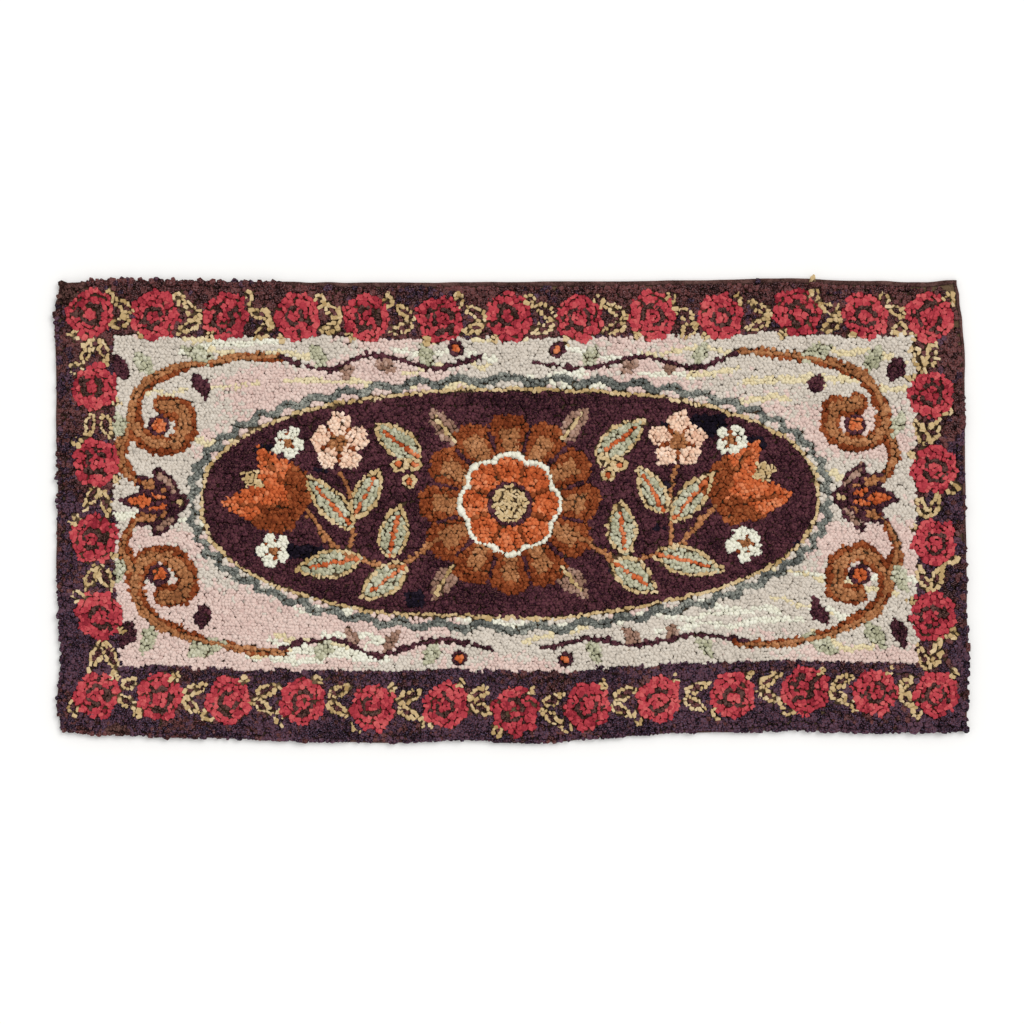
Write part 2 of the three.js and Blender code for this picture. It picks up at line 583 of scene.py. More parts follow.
@dataclass
class Dahlia(Motif):
    """A large flower of two rings of petals round a straw-coloured eye."""

    centre: Pair
    radius: float
    petals: int = 12
    inner_petals: int = 8

    INNER = 0.54
    EYE = 0.20
    NOTCH = 0.14
    ROUNDNESS = 0.7
    HEART = 0.72
    HEART_END = 0.84
    PARTING_START = 0.05
    INNER_PARTING = (0.06, 0.08)
    EYE_RING_GAP = 3.0
    INNER_RING_GAP = 2.0

    def petal_reach(self, angles: Array, petals: int, full: float) -> Array:
        """How far a ring of petals reaches at each angle, given its full share of the radius."""
        lobes = np.abs(np.cos(petals * angles / 2)) ** self.ROUNDNESS
        return self.radius * (full * (1 - self.NOTCH + self.NOTCH * lobes))

    def outer_reach(self, angles: Array) -> Array:
        """How far the outer petals reach."""
        return self.petal_reach(angles, self.petals, 1.0)

    def inner_reach(self, angles: Array) -> Array:
        """How far the inner petals reach."""
        return self.petal_reach(angles, self.inner_petals, self.INNER)

    def on_hearts(self, points: Array) -> Array:
        """Finds the outer petals' hearts.

        Args:
            points: Points on the rug.

        Returns:
            Whether each lies on a heart.
        """
        reach, angles = polar(points, self.centre)
        middle = np.abs(np.cos(self.petals * angles / 2)) > self.HEART
        return middle & (reach > self.INNER * self.radius) & (reach < self.HEART_END * self.radius)

    def patches(self) -> list[Patch]:
        """Fills the flower.

        Returns:
            Outer petals, their lighter hearts, inner petals, and the eye.
        """
        return [
            Patch(disc_test(self.centre, self.outer_reach), Lot.RUSSET_DARK),
            Patch(self.on_hearts, Lot.RUSSET_LIGHT),
            Patch(disc_test(self.centre, self.inner_reach), Lot.TERRACOTTA),
            Patch(disc_test(self.centre, round_reach(self.EYE * self.radius)), Lot.STRAW),
        ]

    def lines(self) -> list[RagLine]:
        """Draws the flower.

        Returns:
            Partings between petals, and rings round the eye and the inner petals.
        """
        from_eye, to_ring = self.INNER_PARTING
        outer_span = (self.INNER + self.PARTING_START, self.HEART_END)
        inner_span = (self.EYE + from_eye, self.INNER - to_ring)
        round_eye = ring_path(self.centre, round_reach(self.EYE * self.radius + self.EYE_RING_GAP))
        round_petals = ring_path(self.centre, lambda angles: self.inner_reach(angles) + self.INNER_RING_GAP)
        return [
            *partings(self, self.petals, 0.0, outer_span, Lot.PLUM_GROUND),
            *partings(self, self.inner_petals, 0.0, inner_span, Lot.RUSSET_DARK),
            RagLine(round_eye, Lot.PLUM_GROUND),
            RagLine(round_petals, Lot.CREAM),
        ]


@dataclass
class Tulip(Motif):
    """A cup of two russet petals about a straw-coloured one."""

    foot: Pair
    height: float
    lean: float

    # Each petal's turn from upright, shares of the height along and across it, and lot.
    LOBES = (
        (0.0, 0.92, 0.52, Lot.STRAW),
        (0.42, 1.0, 0.46, Lot.TERRACOTTA),
        (-0.42, 1.0, 0.46, Lot.TERRACOTTA),
        (0.78, 0.66, 0.34, Lot.RUSSET_DARK),
        (-0.78, 0.66, 0.34, Lot.RUSSET_DARK),
    )

    def petals(self) -> list[Leaf]:
        """Spreads the petals.

        Returns:
            Leaves that share a foot.
        """
        leaves = []
        for turn, tall, wide, lot in self.LOBES:
            angle = math.pi / 2 + self.lean + turn
            tip = tuple(np.array(self.foot) + self.height * tall * unit(angle))
            rib = Lot.RUSSET_DARK if lot is Lot.TERRACOTTA else None
            leaves.append(Leaf(self.foot, tip, self.height * wide, lot, rib))
        return leaves

    def patches(self) -> list[Patch]:
        """All the petals' blades, the middle one first."""
        return [patch for petal in self.petals() for patch in petal.patches()]

    def lines(self) -> list[RagLine]:
        """The petals' ribs."""
        return [line for petal in self.petals() for line in petal.lines()]


@dataclass
class Blossom(Motif):
    """A small flower of round petals with a dark eye."""

    centre: Pair
    radius: float
    petals: int = 5
    phase: float = 0.3
    lot: Lot = Lot.PEACH

    NOTCH = 0.38
    ROUNDNESS = 0.6
    EYE = 0.3
    PARTING_SPAN = (0.32, 0.66)

    def reach(self, angles: Array) -> Array:
        """How far the petals reach at each angle."""
        lobes = np.abs(np.cos(self.petals * (angles - self.phase) / 2)) ** self.ROUNDNESS
        return self.radius * (1 - self.NOTCH + self.NOTCH * lobes)

    def patches(self) -> list[Patch]:
        """The petals and the eye."""
        eye = disc_test(self.centre, round_reach(self.EYE * self.radius))
        return [Patch(disc_test(self.centre, self.reach), self.lot), Patch(eye, Lot.RUSSET_LIGHT)]

    def lines(self) -> list[RagLine]:
        """Short partings between petals."""
        return partings(self, self.petals, self.phase, self.PARTING_SPAN, Lot.RUSSET_DARK)


@dataclass
class Stroke(Motif):
    """A tapered stroke, such as a stem or a scroll, two-toned where a light lot is named."""

    knots: tuple[Pair, ...]
    start_width: float
    end_width: float
    lot: Lot
    light: Lot | None = None
    light_shift: Pair = (0.0, 0.0)

    LIGHT_WIDTH = 0.55
    PER_SPAN = 8
    PITCH = 5.2

    def course(self) -> tuple[Array, Array]:
        """The stroke's middle, and half its width along it."""
        path = smooth_path(self.knots, self.PER_SPAN)
        return path, np.linspace(self.start_width, self.end_width, len(path)) / 2

    def patches(self) -> list[Patch]:
        """Fills the stroke.

        Returns:
            The stroke, then its lighter side.
        """
        path, radii = self.course()
        patches = [Patch(stroke_test(path, radii), self.lot)]
        if self.light:
            lit = stroke_test(path + np.array(self.light_shift), radii * self.LIGHT_WIDTH)
            patches.append(Patch(lit, self.light))
        return patches

    def lines(self) -> list[RagLine]:
        """A row down the middle, which keeps a thin stroke whole."""
        return [RagLine(self.course()[0], self.light or self.lot, self.PITCH)]


@dataclass
class Berry(Motif):
    """A round berry with a ring round it."""

    centre: Pair
    radius: float
    lot: Lot
    ring: Lot

    def patches(self) -> list[Patch]:
        """The berry."""
        return [Patch(disc_test(self.centre, round_reach(self.radius)), self.lot)]

    def lines(self) -> list[RagLine]:
        """The ring."""
        return [RagLine(ring_path(self.centre, round_reach(self.radius)), self.ring)]


class RoseRow(NamedTuple):
    """A row of roses along one side of the border, and how far out its leaves reach."""

    count: int
    first: Pair
    last: Pair
    facing: float
    sag: float
    end_gap: float
    leaf_half: float


@dataclass
class RoseBorder:
    """The border: roses in a row on each side, with leaves in the gaps between them."""

    rng: Draws
    left: float = -566.0
    right: float = 577.0
    bottom: float = -228.0
    top: float = 250.0
    rose_radius: float = 33.6
    rose_sizes: Pair = (0.96, 1.05)
    rose_stray: float = 1.6
    sag_span: float = 400.0
    petal_counts: tuple[int, int] = (4, 8)
    knob_stray: float = 3.4
    ring_shares: Pair = (0.34, 0.44)
    ring_breaks: tuple[int, int] = (2, 4)
    break_stray: float = 0.15
    arc_strays: Pair = (-0.03, 0.05)
    arc_sweeps: Pair = (0.70, 0.94)
    thick_chance: float = 0.22
    thick_sweep: float = 0.4
    parting_chance: float = 0.75
    parting_ends: Pair = (0.60, 0.78)
    leaf_width: float = 12.6
    leaf_lap: float = 3.0
    leaf_pitch: float = 6.0
    leaf_sway: float = 0.7
    leaf_shifts: Pair = (3.0, 7.0)
    curl_gap: float = 4.0
    hook_turns: Pair = (0.60, 0.82)
    hook_half: Pair = (9.5, 11.5)
    tuft_turns: Pair = (0.86, 1.04)
    tuft_half: Pair = (7.0, 7.5)
    rows: tuple[RoseRow, ...] = (
        RoseRow(13, (-599.0, 282.0), (603.0, 279.0), math.pi / 2, 5.0, 0.9, 25.0),
        RoseRow(13, (-594.0, -273.0), (605.0, -274.0), -math.pi / 2, 10.0, 0.86, 25.0),
        RoseRow(4, (-590.0, 174.0), (-592.0, -153.0), math.pi, 0.0, 1.0, 22.0),
        RoseRow(4, (600.0, 162.0), (600.0, -160.0), 0.0, 0.0, 1.0, 21.0),
    )

    def covers(self, points: Array) -> Array:
        """Whether points lie on the border."""
        x, y = points.T
        return (x < self.left) | (x > self.right) | (y < self.bottom) | (y > self.top)

    def centres(self, row: RoseRow) -> Array:
        """Spaces a row's roses.

        Args:
            row: The row.

        Returns:
            The roses' centres, in order.
        """
        gaps = np.ones(row.count)
        gaps[[1, -1]] = row.end_gap
        share = ((np.cumsum(gaps) - 1) / (gaps[1:].sum()))[:, None]
        centres = np.array(row.first) * (1 - share) + np.array(row.last) * share
        dip = np.cos(np.pi / 2 * np.clip(centres[:, 0] / self.sag_span, -1, 1)) ** 2
        centres[:, 1] -= row.sag * dip
        return centres + self.rng.normal(0, self.rose_stray, centres.shape)

    def rose(self, centre: Array) -> Rose:
        """Draws a rose of its own size, turn, number of petals and dark marks.

        Args:
            centre: Its centre.

        Returns:
            The rose.
        """
        rng = self.rng
        petals = int(rng.integers(*self.petal_counts))
        phase = rng.uniform(0, 2 * math.pi)
        ring = rng.uniform(*self.ring_shares)
        breaks = int(rng.integers(*self.ring_breaks))
        sweep = 2 * math.pi / breaks
        arcs, gaps = [], []
        stray = rng.uniform(-self.break_stray, self.break_stray, breaks)
        for angle in phase + sweep * (np.arange(breaks) + stray):
            arc = Arc(ring + rng.uniform(*self.arc_strays), angle, rng.uniform(*self.arc_sweeps) * sweep)
            arcs.append(arc)
            if rng.random() < self.thick_chance:
                arcs.append(Arc(ring + Rose.RING_STEP, arc.start, arc.sweep * self.thick_sweep))
            if rng.random() < self.parting_chance:
                side = angle + rng.uniform(0, 1) * arc.sweep
                gaps.append(Parting(side, ring + Rose.RING_STEP, rng.uniform(*self.parting_ends)))
        radius = self.rose_radius * rng.uniform(*self.rose_sizes)
        knob = rng.normal(0, self.knob_stray, 2)
        return Rose(centre, radius, petals, phase, knob, ring, arcs, gaps)

    def leaves(self, row: RoseRow, centres: Array, chain: Array) -> list[Motif]:
        """Fills a row's gaps with leaves.

        Args:
            row: The row.
            centres: Its roses' centres.
            chain: The same with the corner roses at the row's ends.

        Returns:
            Pairs of leaves between the roses, hooks on their outer side and tufts on their inner.
        """
        outward = unit(row.facing)
        along = np.array([outward[1], -outward[0]])
        leaves: list[Motif] = []
        for start, end in zip(chain, chain[1:]):
            half_gap = np.hypot(*(end - start)) / 2 - self.rose_radius
            half = np.array([half_gap + self.leaf_lap, row.leaf_half])
            pair = LEAF_PAIRS[int(self.rng.integers(len(LEAF_PAIRS)))]
            place = (start + end) / 2 - self.rng.uniform(*self.leaf_shifts) * outward
            for blade in pair:
                foot, tip = turned(np.array(blade) * half, row.facing - math.pi / 2) + place
                leaves.append(Leaf(
                    tuple(foot), tuple(tip), self.leaf_width, Lot.BORDER_BROWN, None, Lot.STRAW,
                    self.leaf_pitch, self.leaf_sway,
                ))
        for centre in centres:
            turn = self.rng.uniform(*self.hook_turns)
            reach = self.rose_radius + self.curl_gap
            side = along * math.cos(turn) + outward * math.sin(turn)
            hook = LEAF_HOOKS[int(self.rng.integers(len(LEAF_HOOKS)))]
            leaves.append(LeafCurl(hook, centre + side * reach, self.hook_half, row.facing))
            turn = self.rng.uniform(*self.tuft_turns)
            side = -along * math.cos(turn) - outward * math.sin(turn)
            leaves.append(LeafCurl(ROSE_TUFT, centre + side * reach, self.tuft_half, row.facing))
        return leaves

    def motifs(self) -> list[Motif]:
        """Lays out the border.

        Returns:
            All the leaves, then all the roses.
        """
        top, bottom, left, right = (self.centres(row) for row in self.rows)
        left_chain = np.vstack([top[:1], left, bottom[:1]])
        right_chain = np.vstack([top[-1:], right, bottom[-1:]])
        chains = (top, bottom, left_chain, right_chain)
        motifs: list[Motif] = []
        for row, centres, chain in zip(self.rows, (top, bottom, left, right), chains):
            motifs += self.leaves(row, centres, chain)
        motifs += [self.rose(centre) for centre in np.vstack([top, bottom, left, right])]
        return motifs


@dataclass
class LeafyField:
    """The field: flowers and leaves in a plum medallion on a pale ground with corner scrolls."""

    rng: Draws
    centre: Pair = (-3.0, 11.0)
    half_length: float = 440.0
    half_width: float = 164.0
    squareness: float = 2.3
    unevenness: float = 2.0
    scallop: float = 4.5
    scallops: int = 52
    scallop_rows: Pair = (11.0, 17.0)
    dahlia_radius: float = 130.0
    tulip_lean: float = 1.02
    streaks: int = 44
    streak_knots: int = 7
    streak_runs: Pair = (60.0, 200.0)
    streak_drift: float = 12.0
    streak_waver: float = 3.5
    streak_radii: Pair = (2.6, 5.0)
    streak_in_medallion: float = 0.3
    butter_share: float = 0.55
    streak_box: tuple[Pair, Pair] = ((-580.0, -220.0), (480.0, 245.0))

    EDGE_STEPS = 720
    STREAK_STEPS = 6
    SCROLL_LIGHT = 2.5

    def medallion(self, grow: float, wave: float = 0.0) -> Array:
        """Draws the medallion's edge.

        Args:
            grow: How far outside the edge the path runs.
            wave: Height of the scallops on it.

        Returns:
            Points along the edge.
        """
        angles = np.linspace(0, 2 * math.pi, self.EDGE_STEPS + 1)
        power = 2 / self.squareness
        cosine, sine = np.cos(angles), np.sin(angles)
        reach = grow + wave * np.cos(self.scallops * angles)
        x = np.sign(cosine) * np.abs(cosine) ** power * (self.half_length + reach)
        y = np.sign(sine) * np.abs(sine) ** power * (self.half_width + reach)
        return np.column_stack([x, y]) + np.array(self.centre)

    def in_medallion(self, points: Array) -> Array:
        """Whether points lie in the medallion."""
        share = np.abs((points - np.array(self.centre)) / np.array([self.half_length, self.half_width]))
        return (share**self.squareness).sum(axis=1) < 1

    def placer(self, side: int, rise: int = 1) -> Callable[[float, float], Pair]:
        """Makes the way to set points on one side of the field, as unevenly as a hand would.

        Args:
            side: 1 for the right, -1 for the left.
            rise: 1 for the top, -1 for the bottom.

        Returns:
            A function of a point's distances along and up from the field's middle.
        """
        def at(along: float, up: float) -> Pair:
            """Sets one point."""
            stray_x, stray_y = self.rng.normal(0, self.unevenness, 2)
            return self.centre[0] + side * along + stray_x, self.centre[1] + rise * up + stray_y
        return at

    def spray(self, side: int) -> list[Motif]:
        """The flowers and leaves on one side of the medallion.

        Args:
            side: 1 for the right side, -1 for the left.

        Returns:
            Stems first, then leaves, then flowers.
        """
        at = self.placer(side)
        stem = (at(92, -44), at(160, -84), at(236, -66), at(292, -8))
        twig = (at(228, -66), at(226, -6), at(236, 42))
        motifs: list[Motif] = [
            Stroke(stem, 12, 9, Lot.RUSSET_LIGHT),
            Stroke(twig, 8, 7, Lot.RUSSET_LIGHT),
        ]
        for base, tip, width in (
            ((146, -82), (212, -134), 40), ((206, -76), (306, -100), 38), ((168, -78), (158, 4), 40),
            ((224, -34), (292, 40), 36), ((124, 64), (196, 118), 40), ((226, -20), (184, 52), 34),
        ):
            motifs.append(Leaf(at(*base), at(*tip), width, outline=Lot.STRAW))
        motifs += [
            Leaf(at(72, 88), at(116, 140), 32, Lot.TAUPE, Lot.STRAW),
            Leaf(at(72, -88), at(112, -142), 32, Lot.TAUPE, Lot.STRAW),
            Tulip(at(292, -14), 120, -self.tulip_lean * side),
            Blossom(at(242, 86), 42),
            Blossom(at(338, -66), 25, 5, 0.7, Lot.CREAM),
            Blossom(at(316, 88), 22, 5, 1.1, Lot.CREAM),
        ]
        for place in ((142, 34), (158, 56), (134, 58)):
            motifs.append(Berry(at(*place), 8, Lot.TERRACOTTA, Lot.STRAW))
        return motifs

    def corner(self, side: int, rise: int) -> list[Motif]:
        """The scroll in one corner of the pale ground, and the vine that runs in from it.

        Args:
            side: 1 for the right, -1 for the left.
            rise: 1 for the top, -1 for the bottom.

        Returns:
            The vine, the scroll, their leaves and the scroll's bud.
        """
        at = self.placer(side, rise)
        vine = (at(338, 212), at(262, 194), at(186, 214), at(108, 196), at(36, 208))
        curl = (
            at(326, 212), at(402, 208), at(472, 192), at(524, 158), at(534, 110), at(504, 78),
            at(466, 92), at(464, 130), at(492, 138),
        )
        tail = (at(534, 116), at(552, 66), at(532, 26))
        shift = (self.SCROLL_LIGHT * side, self.SCROLL_LIGHT * rise)
        motifs: list[Motif] = [
            Stroke(vine, 9, 9, Lot.PLUM_GROUND),
            Stroke(tail, 28, 10, Lot.RUSSET_DARK, Lot.RUSSET_LIGHT, shift),
            Stroke(curl, 13, 35, Lot.RUSSET_DARK, Lot.RUSSET_LIGHT, shift),
        ]
        for base, tip, width, lot in (
            ((414, 202), (466, 226), 26, Lot.SAGE), ((542, 172), (562, 216), 26, Lot.PLUM_GROUND),
            ((508, 182), (534, 224), 24, Lot.SAGE), ((448, 184), (430, 146), 26, Lot.PLUM_GROUND),
            ((548, 90), (570, 134), 22, Lot.SAGE), ((262, 196), (284, 230), 22, Lot.SAGE),
            ((186, 212), (160, 184), 22, Lot.TAUPE), ((108, 198), (128, 232), 22, Lot.SAGE),
            ((226, 206), (232, 176), 20, Lot.TAUPE),
        ):
            motifs.append(Leaf(at(*base), at(*tip), width, lot, None))
        motifs.append(Berry(at(498, 110), 13, Lot.TERRACOTTA, Lot.PLUM_GROUND))
        motifs.append(Berry(at(74, 224), 9, Lot.TERRACOTTA, Lot.PLUM_GROUND))
        return motifs

    def palmette(self, side: int) -> list[Motif]:
        """The fan of petals at one end of the field, on the pale ground.

        Args:
            side: 1 for the right, -1 for the left.

        Returns:
            The petals, then the berry at their foot.
        """
        foot = self.placer(side)(474, 0)
        fan: list[Motif] = []
        for turn, reach, width, lot in (
            (1.0, 60, 24, Lot.TAUPE), (-1.0, 60, 24, Lot.TAUPE), (0.5, 74, 26, Lot.RUSSET_LIGHT),
            (-0.5, 74, 26, Lot.RUSSET_LIGHT), (0.0, 82, 30, Lot.TERRACOTTA),
        ):
            tip = tuple(np.array(foot) + reach * unit(turn) * [side, 1])
            fan.append(Leaf(foot, tip, width, lot, None, Lot.PLUM_GROUND))
        fan.append(Berry(foot, 12, Lot.STRAW, Lot.PLUM_GROUND))
        return fan

    def motifs(self) -> list[Motif]:
        """Lays out the field.

        Returns:
            All its figures, later ones over earlier ones.
        """
        figures: list[Motif] = []
        for side in (1, -1):
            figures += self.spray(side) + self.palmette(side)
            figures += self.corner(side, 1) + self.corner(side, -1)
        figures.append(Dahlia(self.centre, self.dahlia_radius))
        return figures

    def pale_streaks(self) -> list[Patch]:
        """Streaks the pale ground round the medallion.

        Returns:
            Wandering rows of cream and butter.
        """
        rng = self.rng
        patches = []
        while len(patches) < self.streaks:
            steps = np.linspace(0, 1, self.streak_knots)[:, None]
            run = np.array([rng.uniform(*self.streak_runs), rng.normal(0, self.streak_drift)])
            start = rng.uniform(*self.streak_box)
            waver = rng.normal(0, self.streak_waver, (self.streak_knots, 2))
            path = smooth_path(start + steps * run + waver, self.STREAK_STEPS)
            if self.in_medallion(path).mean() < self.streak_in_medallion:
                lot = Lot.BUTTER if rng.random() < self.butter_share else Lot.CREAM
                radii = np.full(len(path), rng.uniform(*self.streak_radii))
                patches.append(Patch(stroke_test(path, radii), lot))
        return patches

    def edging(self) -> list[RagLine]:
        """Draws the medallion's edge.

        Returns:
            A straw-coloured row, and the scalloped rows outside it.
        """
        scalloped = [self.medallion(grow, self.scallop) for grow in self.scallop_rows]
        outer = [RagLine(path, Lot.BLUE_GREY) for path in scalloped]
        return [RagLine(self.medallion(0.0), Lot.STRAW), *outer]


def fill(lots: Array, patches: Sequence[Patch], points: Array) -> None:
    """Lays patches over the lots at points, later ones over earlier ones."""
    for patch in patches:
        lots[patch.covers(points)] = LOT_NUMBER[patch.lot]


class RugDesign:
    """What lot of rags goes where: the rose border round the leafy field."""

    FINE, USUAL, COARSE, COARSEST = 4.9, 5.5, 6.7, 7.6
    FINE_LOTS = (
        Lot.PALE_PINK, Lot.PALE_GREY, Lot.CREAM, Lot.BUTTER, Lot.OLIVE_BROWN,
        Lot.BORDER_BROWN, Lot.BORDER_BLACK,
    )
    COARSE_REACH = (0.85, 0.62)
    COARSE_TOP_END = -0.3
    KNOB_REACH = 16.0
    WOBBLE = 3.0
    MINGLE = 0.16
    BORDER_MINGLE = 0.3
    GREY_OVER = 0.52
    MIDNIGHT_OVER = 0.84
    BLACK_SHARE, BLACK_DOWN, BLACK_LEFT, BLACK_CORNER = 0.5, 0.45, 0.1, 0.3
    DRIFT_TURN = 2.4 * math.pi
    GROUND_STRAY, PETAL_STRAY = 0.7, 0.45
    RIM_SCRAPS = ((-640.0, 328.0, 28.0), (-566.0, -330.0, 17.0))

    def __init__(self, rng: Draws) -> None:
        """Lays the design out.

        Args:
            rng: Where its hand-made unevenness comes from.
        """
        self.rng = rng
        self.border = RoseBorder(rng)
        self.field = LeafyField(rng)
        self.border_motifs = self.border.motifs()
        self.field_motifs = self.field.motifs()
        self.streaks = self.field.pale_streaks()
        self.cloud = ValueNoise(rng, (170, 46))
        self.heather = ValueNoise(rng, (60, 34))
        self.murk = ValueNoise(rng, (70, 30))
        self.drift = ValueNoise(rng, (45, 32))
        self.wobble_x = ValueNoise(rng, (28, 28))
        self.wobble_y = ValueNoise(rng, (28, 28))

    def lines(self) -> list[RagLine]:
        """Gathers the rows of loops that are hooked before the filling.

        Returns:
            The rows, the most telling first.
        """
        motifs = self.border_motifs + self.field_motifs[::-1]
        drawn = [line for motif in motifs for line in motif.lines()]
        return drawn + self.field.edging()

    def headings_at(self, points: Array, lots: Array) -> Array:
        """Chooses which way the strips run: drifting on the grounds, and out from a rose's middle.

        Args:
            points: Places on the full rectangle.
            lots: The numbers of the lots there.

        Returns:
            Headings in radians.
        """
        headings = self.DRIFT_TURN * self.drift.at(points)
        headings += self.rng.normal(0, self.GROUND_STRAY, len(points))
        hearts = np.array([motif.centre for motif in self.border_motifs if isinstance(motif, Rose)])
        tree = tree_of(hearts)
        for number in np.flatnonzero(lots == LOT_NUMBER[Lot.ROSE_RED]):
            x, y = points[number]
            heart, _, reach = tree.find((x, y, 0))
            if reach > self.KNOB_REACH:
                stray = self.rng.normal(0, self.PETAL_STRAY)
                headings[number] = math.atan2(y - heart[1], x - heart[0]) + stray
        return headings

    def pitch_at(self, points: Array) -> Array:
        """Chooses how far apart loops stand: coarse on the border at the top left and the right.

        Args:
            points: Places on the full rectangle.

        Returns:
            The pitch at each place.
        """
        lots = self.lot_at(points)
        fine = np.isin(lots, [LOT_NUMBER[lot] for lot in self.FINE_LOTS])
        ground = np.isin(lots, [LOT_NUMBER[Lot.BORDER_BROWN], LOT_NUMBER[Lot.BORDER_BLACK]])
        shares = points / OUTLINE.half
        right, top = (shares > self.COARSE_REACH).T
        top &= shares[:, 0] < self.COARSE_TOP_END
        places = [ground & right, ground & top, fine]
        return np.select(places, [self.COARSEST, self.COARSE, self.FINE], self.USUAL)

    def lot_at(self, points: Array) -> Array:
        """Chooses the lot that fills each place.

        Args:
            points: Places on the full rectangle.

        Returns:
            The lots' numbers.
        """
        shift = np.column_stack([self.wobble_x.at(points), self.wobble_y.at(points)]) - 0.5
        places = points + 2 * self.WOBBLE * shift
        lots = np.full(len(points), LOT_NUMBER[Lot.PALE_PINK])
        clouded = self.cloud.at(points) + self.rng.normal(0, self.MINGLE / 2, len(points))
        lots[clouded > self.GREY_OVER] = LOT_NUMBER[Lot.PALE_GREY]
        fill(lots, self.streaks, points)
        plum = self.field.in_medallion(places)
        lots[plum] = LOT_NUMBER[Lot.PLUM_GROUND]
        lots[plum & (self.murk.at(points) > self.MIDNIGHT_OVER)] = LOT_NUMBER[Lot.MIDNIGHT]
        for motif in self.field_motifs:
            fill(lots, motif.patches(), places)
        border = self.border.covers(places)
        lots[border] = LOT_NUMBER[Lot.BORDER_BLACK]
        share_x, share_y = (points / OUTLINE.half).T
        black = self.BLACK_SHARE - self.BLACK_DOWN * share_y - self.BLACK_LEFT * share_x
        black += self.BLACK_CORNER * share_x * np.clip(-share_y, 0, 1)
        mingled = self.heather.at(points) + self.rng.normal(0, self.BORDER_MINGLE, len(points))
        lots[border & (mingled > black)] = LOT_NUMBER[Lot.BORDER_BROWN]
        for x, y, radius in self.RIM_SCRAPS:
            fill(lots, [Patch(disc_test((x, y), round_reach(radius)), Lot.OLIVE_BROWN)], places)
        for motif in self.border_motifs:
            fill(lots, motif.patches(), points)
        return lots


# Mesh helpers


def ring_quads(rings: int, corners: int) -> Array:
    """Numbers the quads between rings of points.

    Args:
        rings: How many rings there are.
        corners: Points in each ring.

    Returns:
        Four point numbers to a row.
    """
    ring, corner = np.meshgrid(np.arange(rings - 1), np.arange(corners), indexing="ij")
    low, high, after = ring * corners, (ring + 1) * corners, (corner + 1) % corners
    return np.stack([low + corner, low + after, high + after, high + corner], -1).reshape(-1, 4)


def tube_quads(count: int, rings: int, corners: int) -> Array:
    """Numbers the quads of short tubes with four corners.

    Args:
        count: How many tubes there are.
        rings: Rings of points in each.
        corners: Points in each ring.

    Returns:
        Four point numbers to a row: each tube's sides ring by ring, then its two ends.
    """
    end = np.arange(corners)
    one = np.vstack([ring_quads(rings, corners), end[::-1], end + (rings - 1) * corners])
    return (one + (np.arange(count) * rings * corners)[:, None, None]).reshape(-1, 4)


def quad_mesh(name: str, points: Array, quads: Array, smooth: bool = True) -> Piece:
    """Makes an object from quads.

    Args:
        name: The object's name.
        points: Points in millimetres.
        quads: Four point numbers to a row.
        smooth: Whether it is shaded smooth or by its facets.

    Returns:
        The new object.
    """
    mesh = bpy.data.meshes.new(name)
    mesh.vertices.add(len(points))
    mesh.vertices.foreach_set("co", (points * MM).astype(np.float32).ravel())
    mesh.loops.add(quads.size)
    mesh.loops.foreach_set("vertex_index", quads.astype(np.int32).ravel())
    mesh.polygons.add(len(quads))
    mesh.polygons.foreach_set("loop_start", np.arange(0, quads.size, 4, dtype=np.int32))
    mesh.polygons.foreach_set("use_smooth", np.full(len(quads), smooth))
    mesh.update(calc_edges=True)
    piece = bpy.data.objects.new(name, mesh)
    bpy.context.scene.collection.objects.link(piece)
    return piece


def add_map(piece: Piece, name: str, corners: Array) -> None:
    """Adds a UV map, with a place in it for each face corner."""
    layer = piece.data.uv_layers.new(name=name)
    layer.uv.foreach_set("vector", corners.astype(np.float32).ravel())


def add_values(piece: Piece, name: str, values: Array) -> None:
    """Adds a value for each point of a piece."""
    attribute = piece.data.attributes.new(name, "FLOAT", "POINT")
    attribute.data.foreach_set("value", values.astype(np.float32).ravel())


def dress(piece: Piece, material: bpy.types.Material, tone: Array,
          crown: Array | float = 1.0) -> None:
    """Tones a piece, gives it its material, and sets it on the rug's body.

    Args:
        piece: The piece.
        material: Its material.
        tone: Each point's tone, from 0 dark to 1 light.
        crown: How far each point stands out of the shade at the loops' roots, from 0 to 1.
    """
    add_values(piece, TONE, tone)
    add_values(piece, CROWN, np.broadcast_to(crown, tone.shape))
    piece.data.materials.append(material)
    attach(piece, BODY)
    LOG.info("%s: %d faces", piece.name, len(piece.data.polygons))


# Finishes


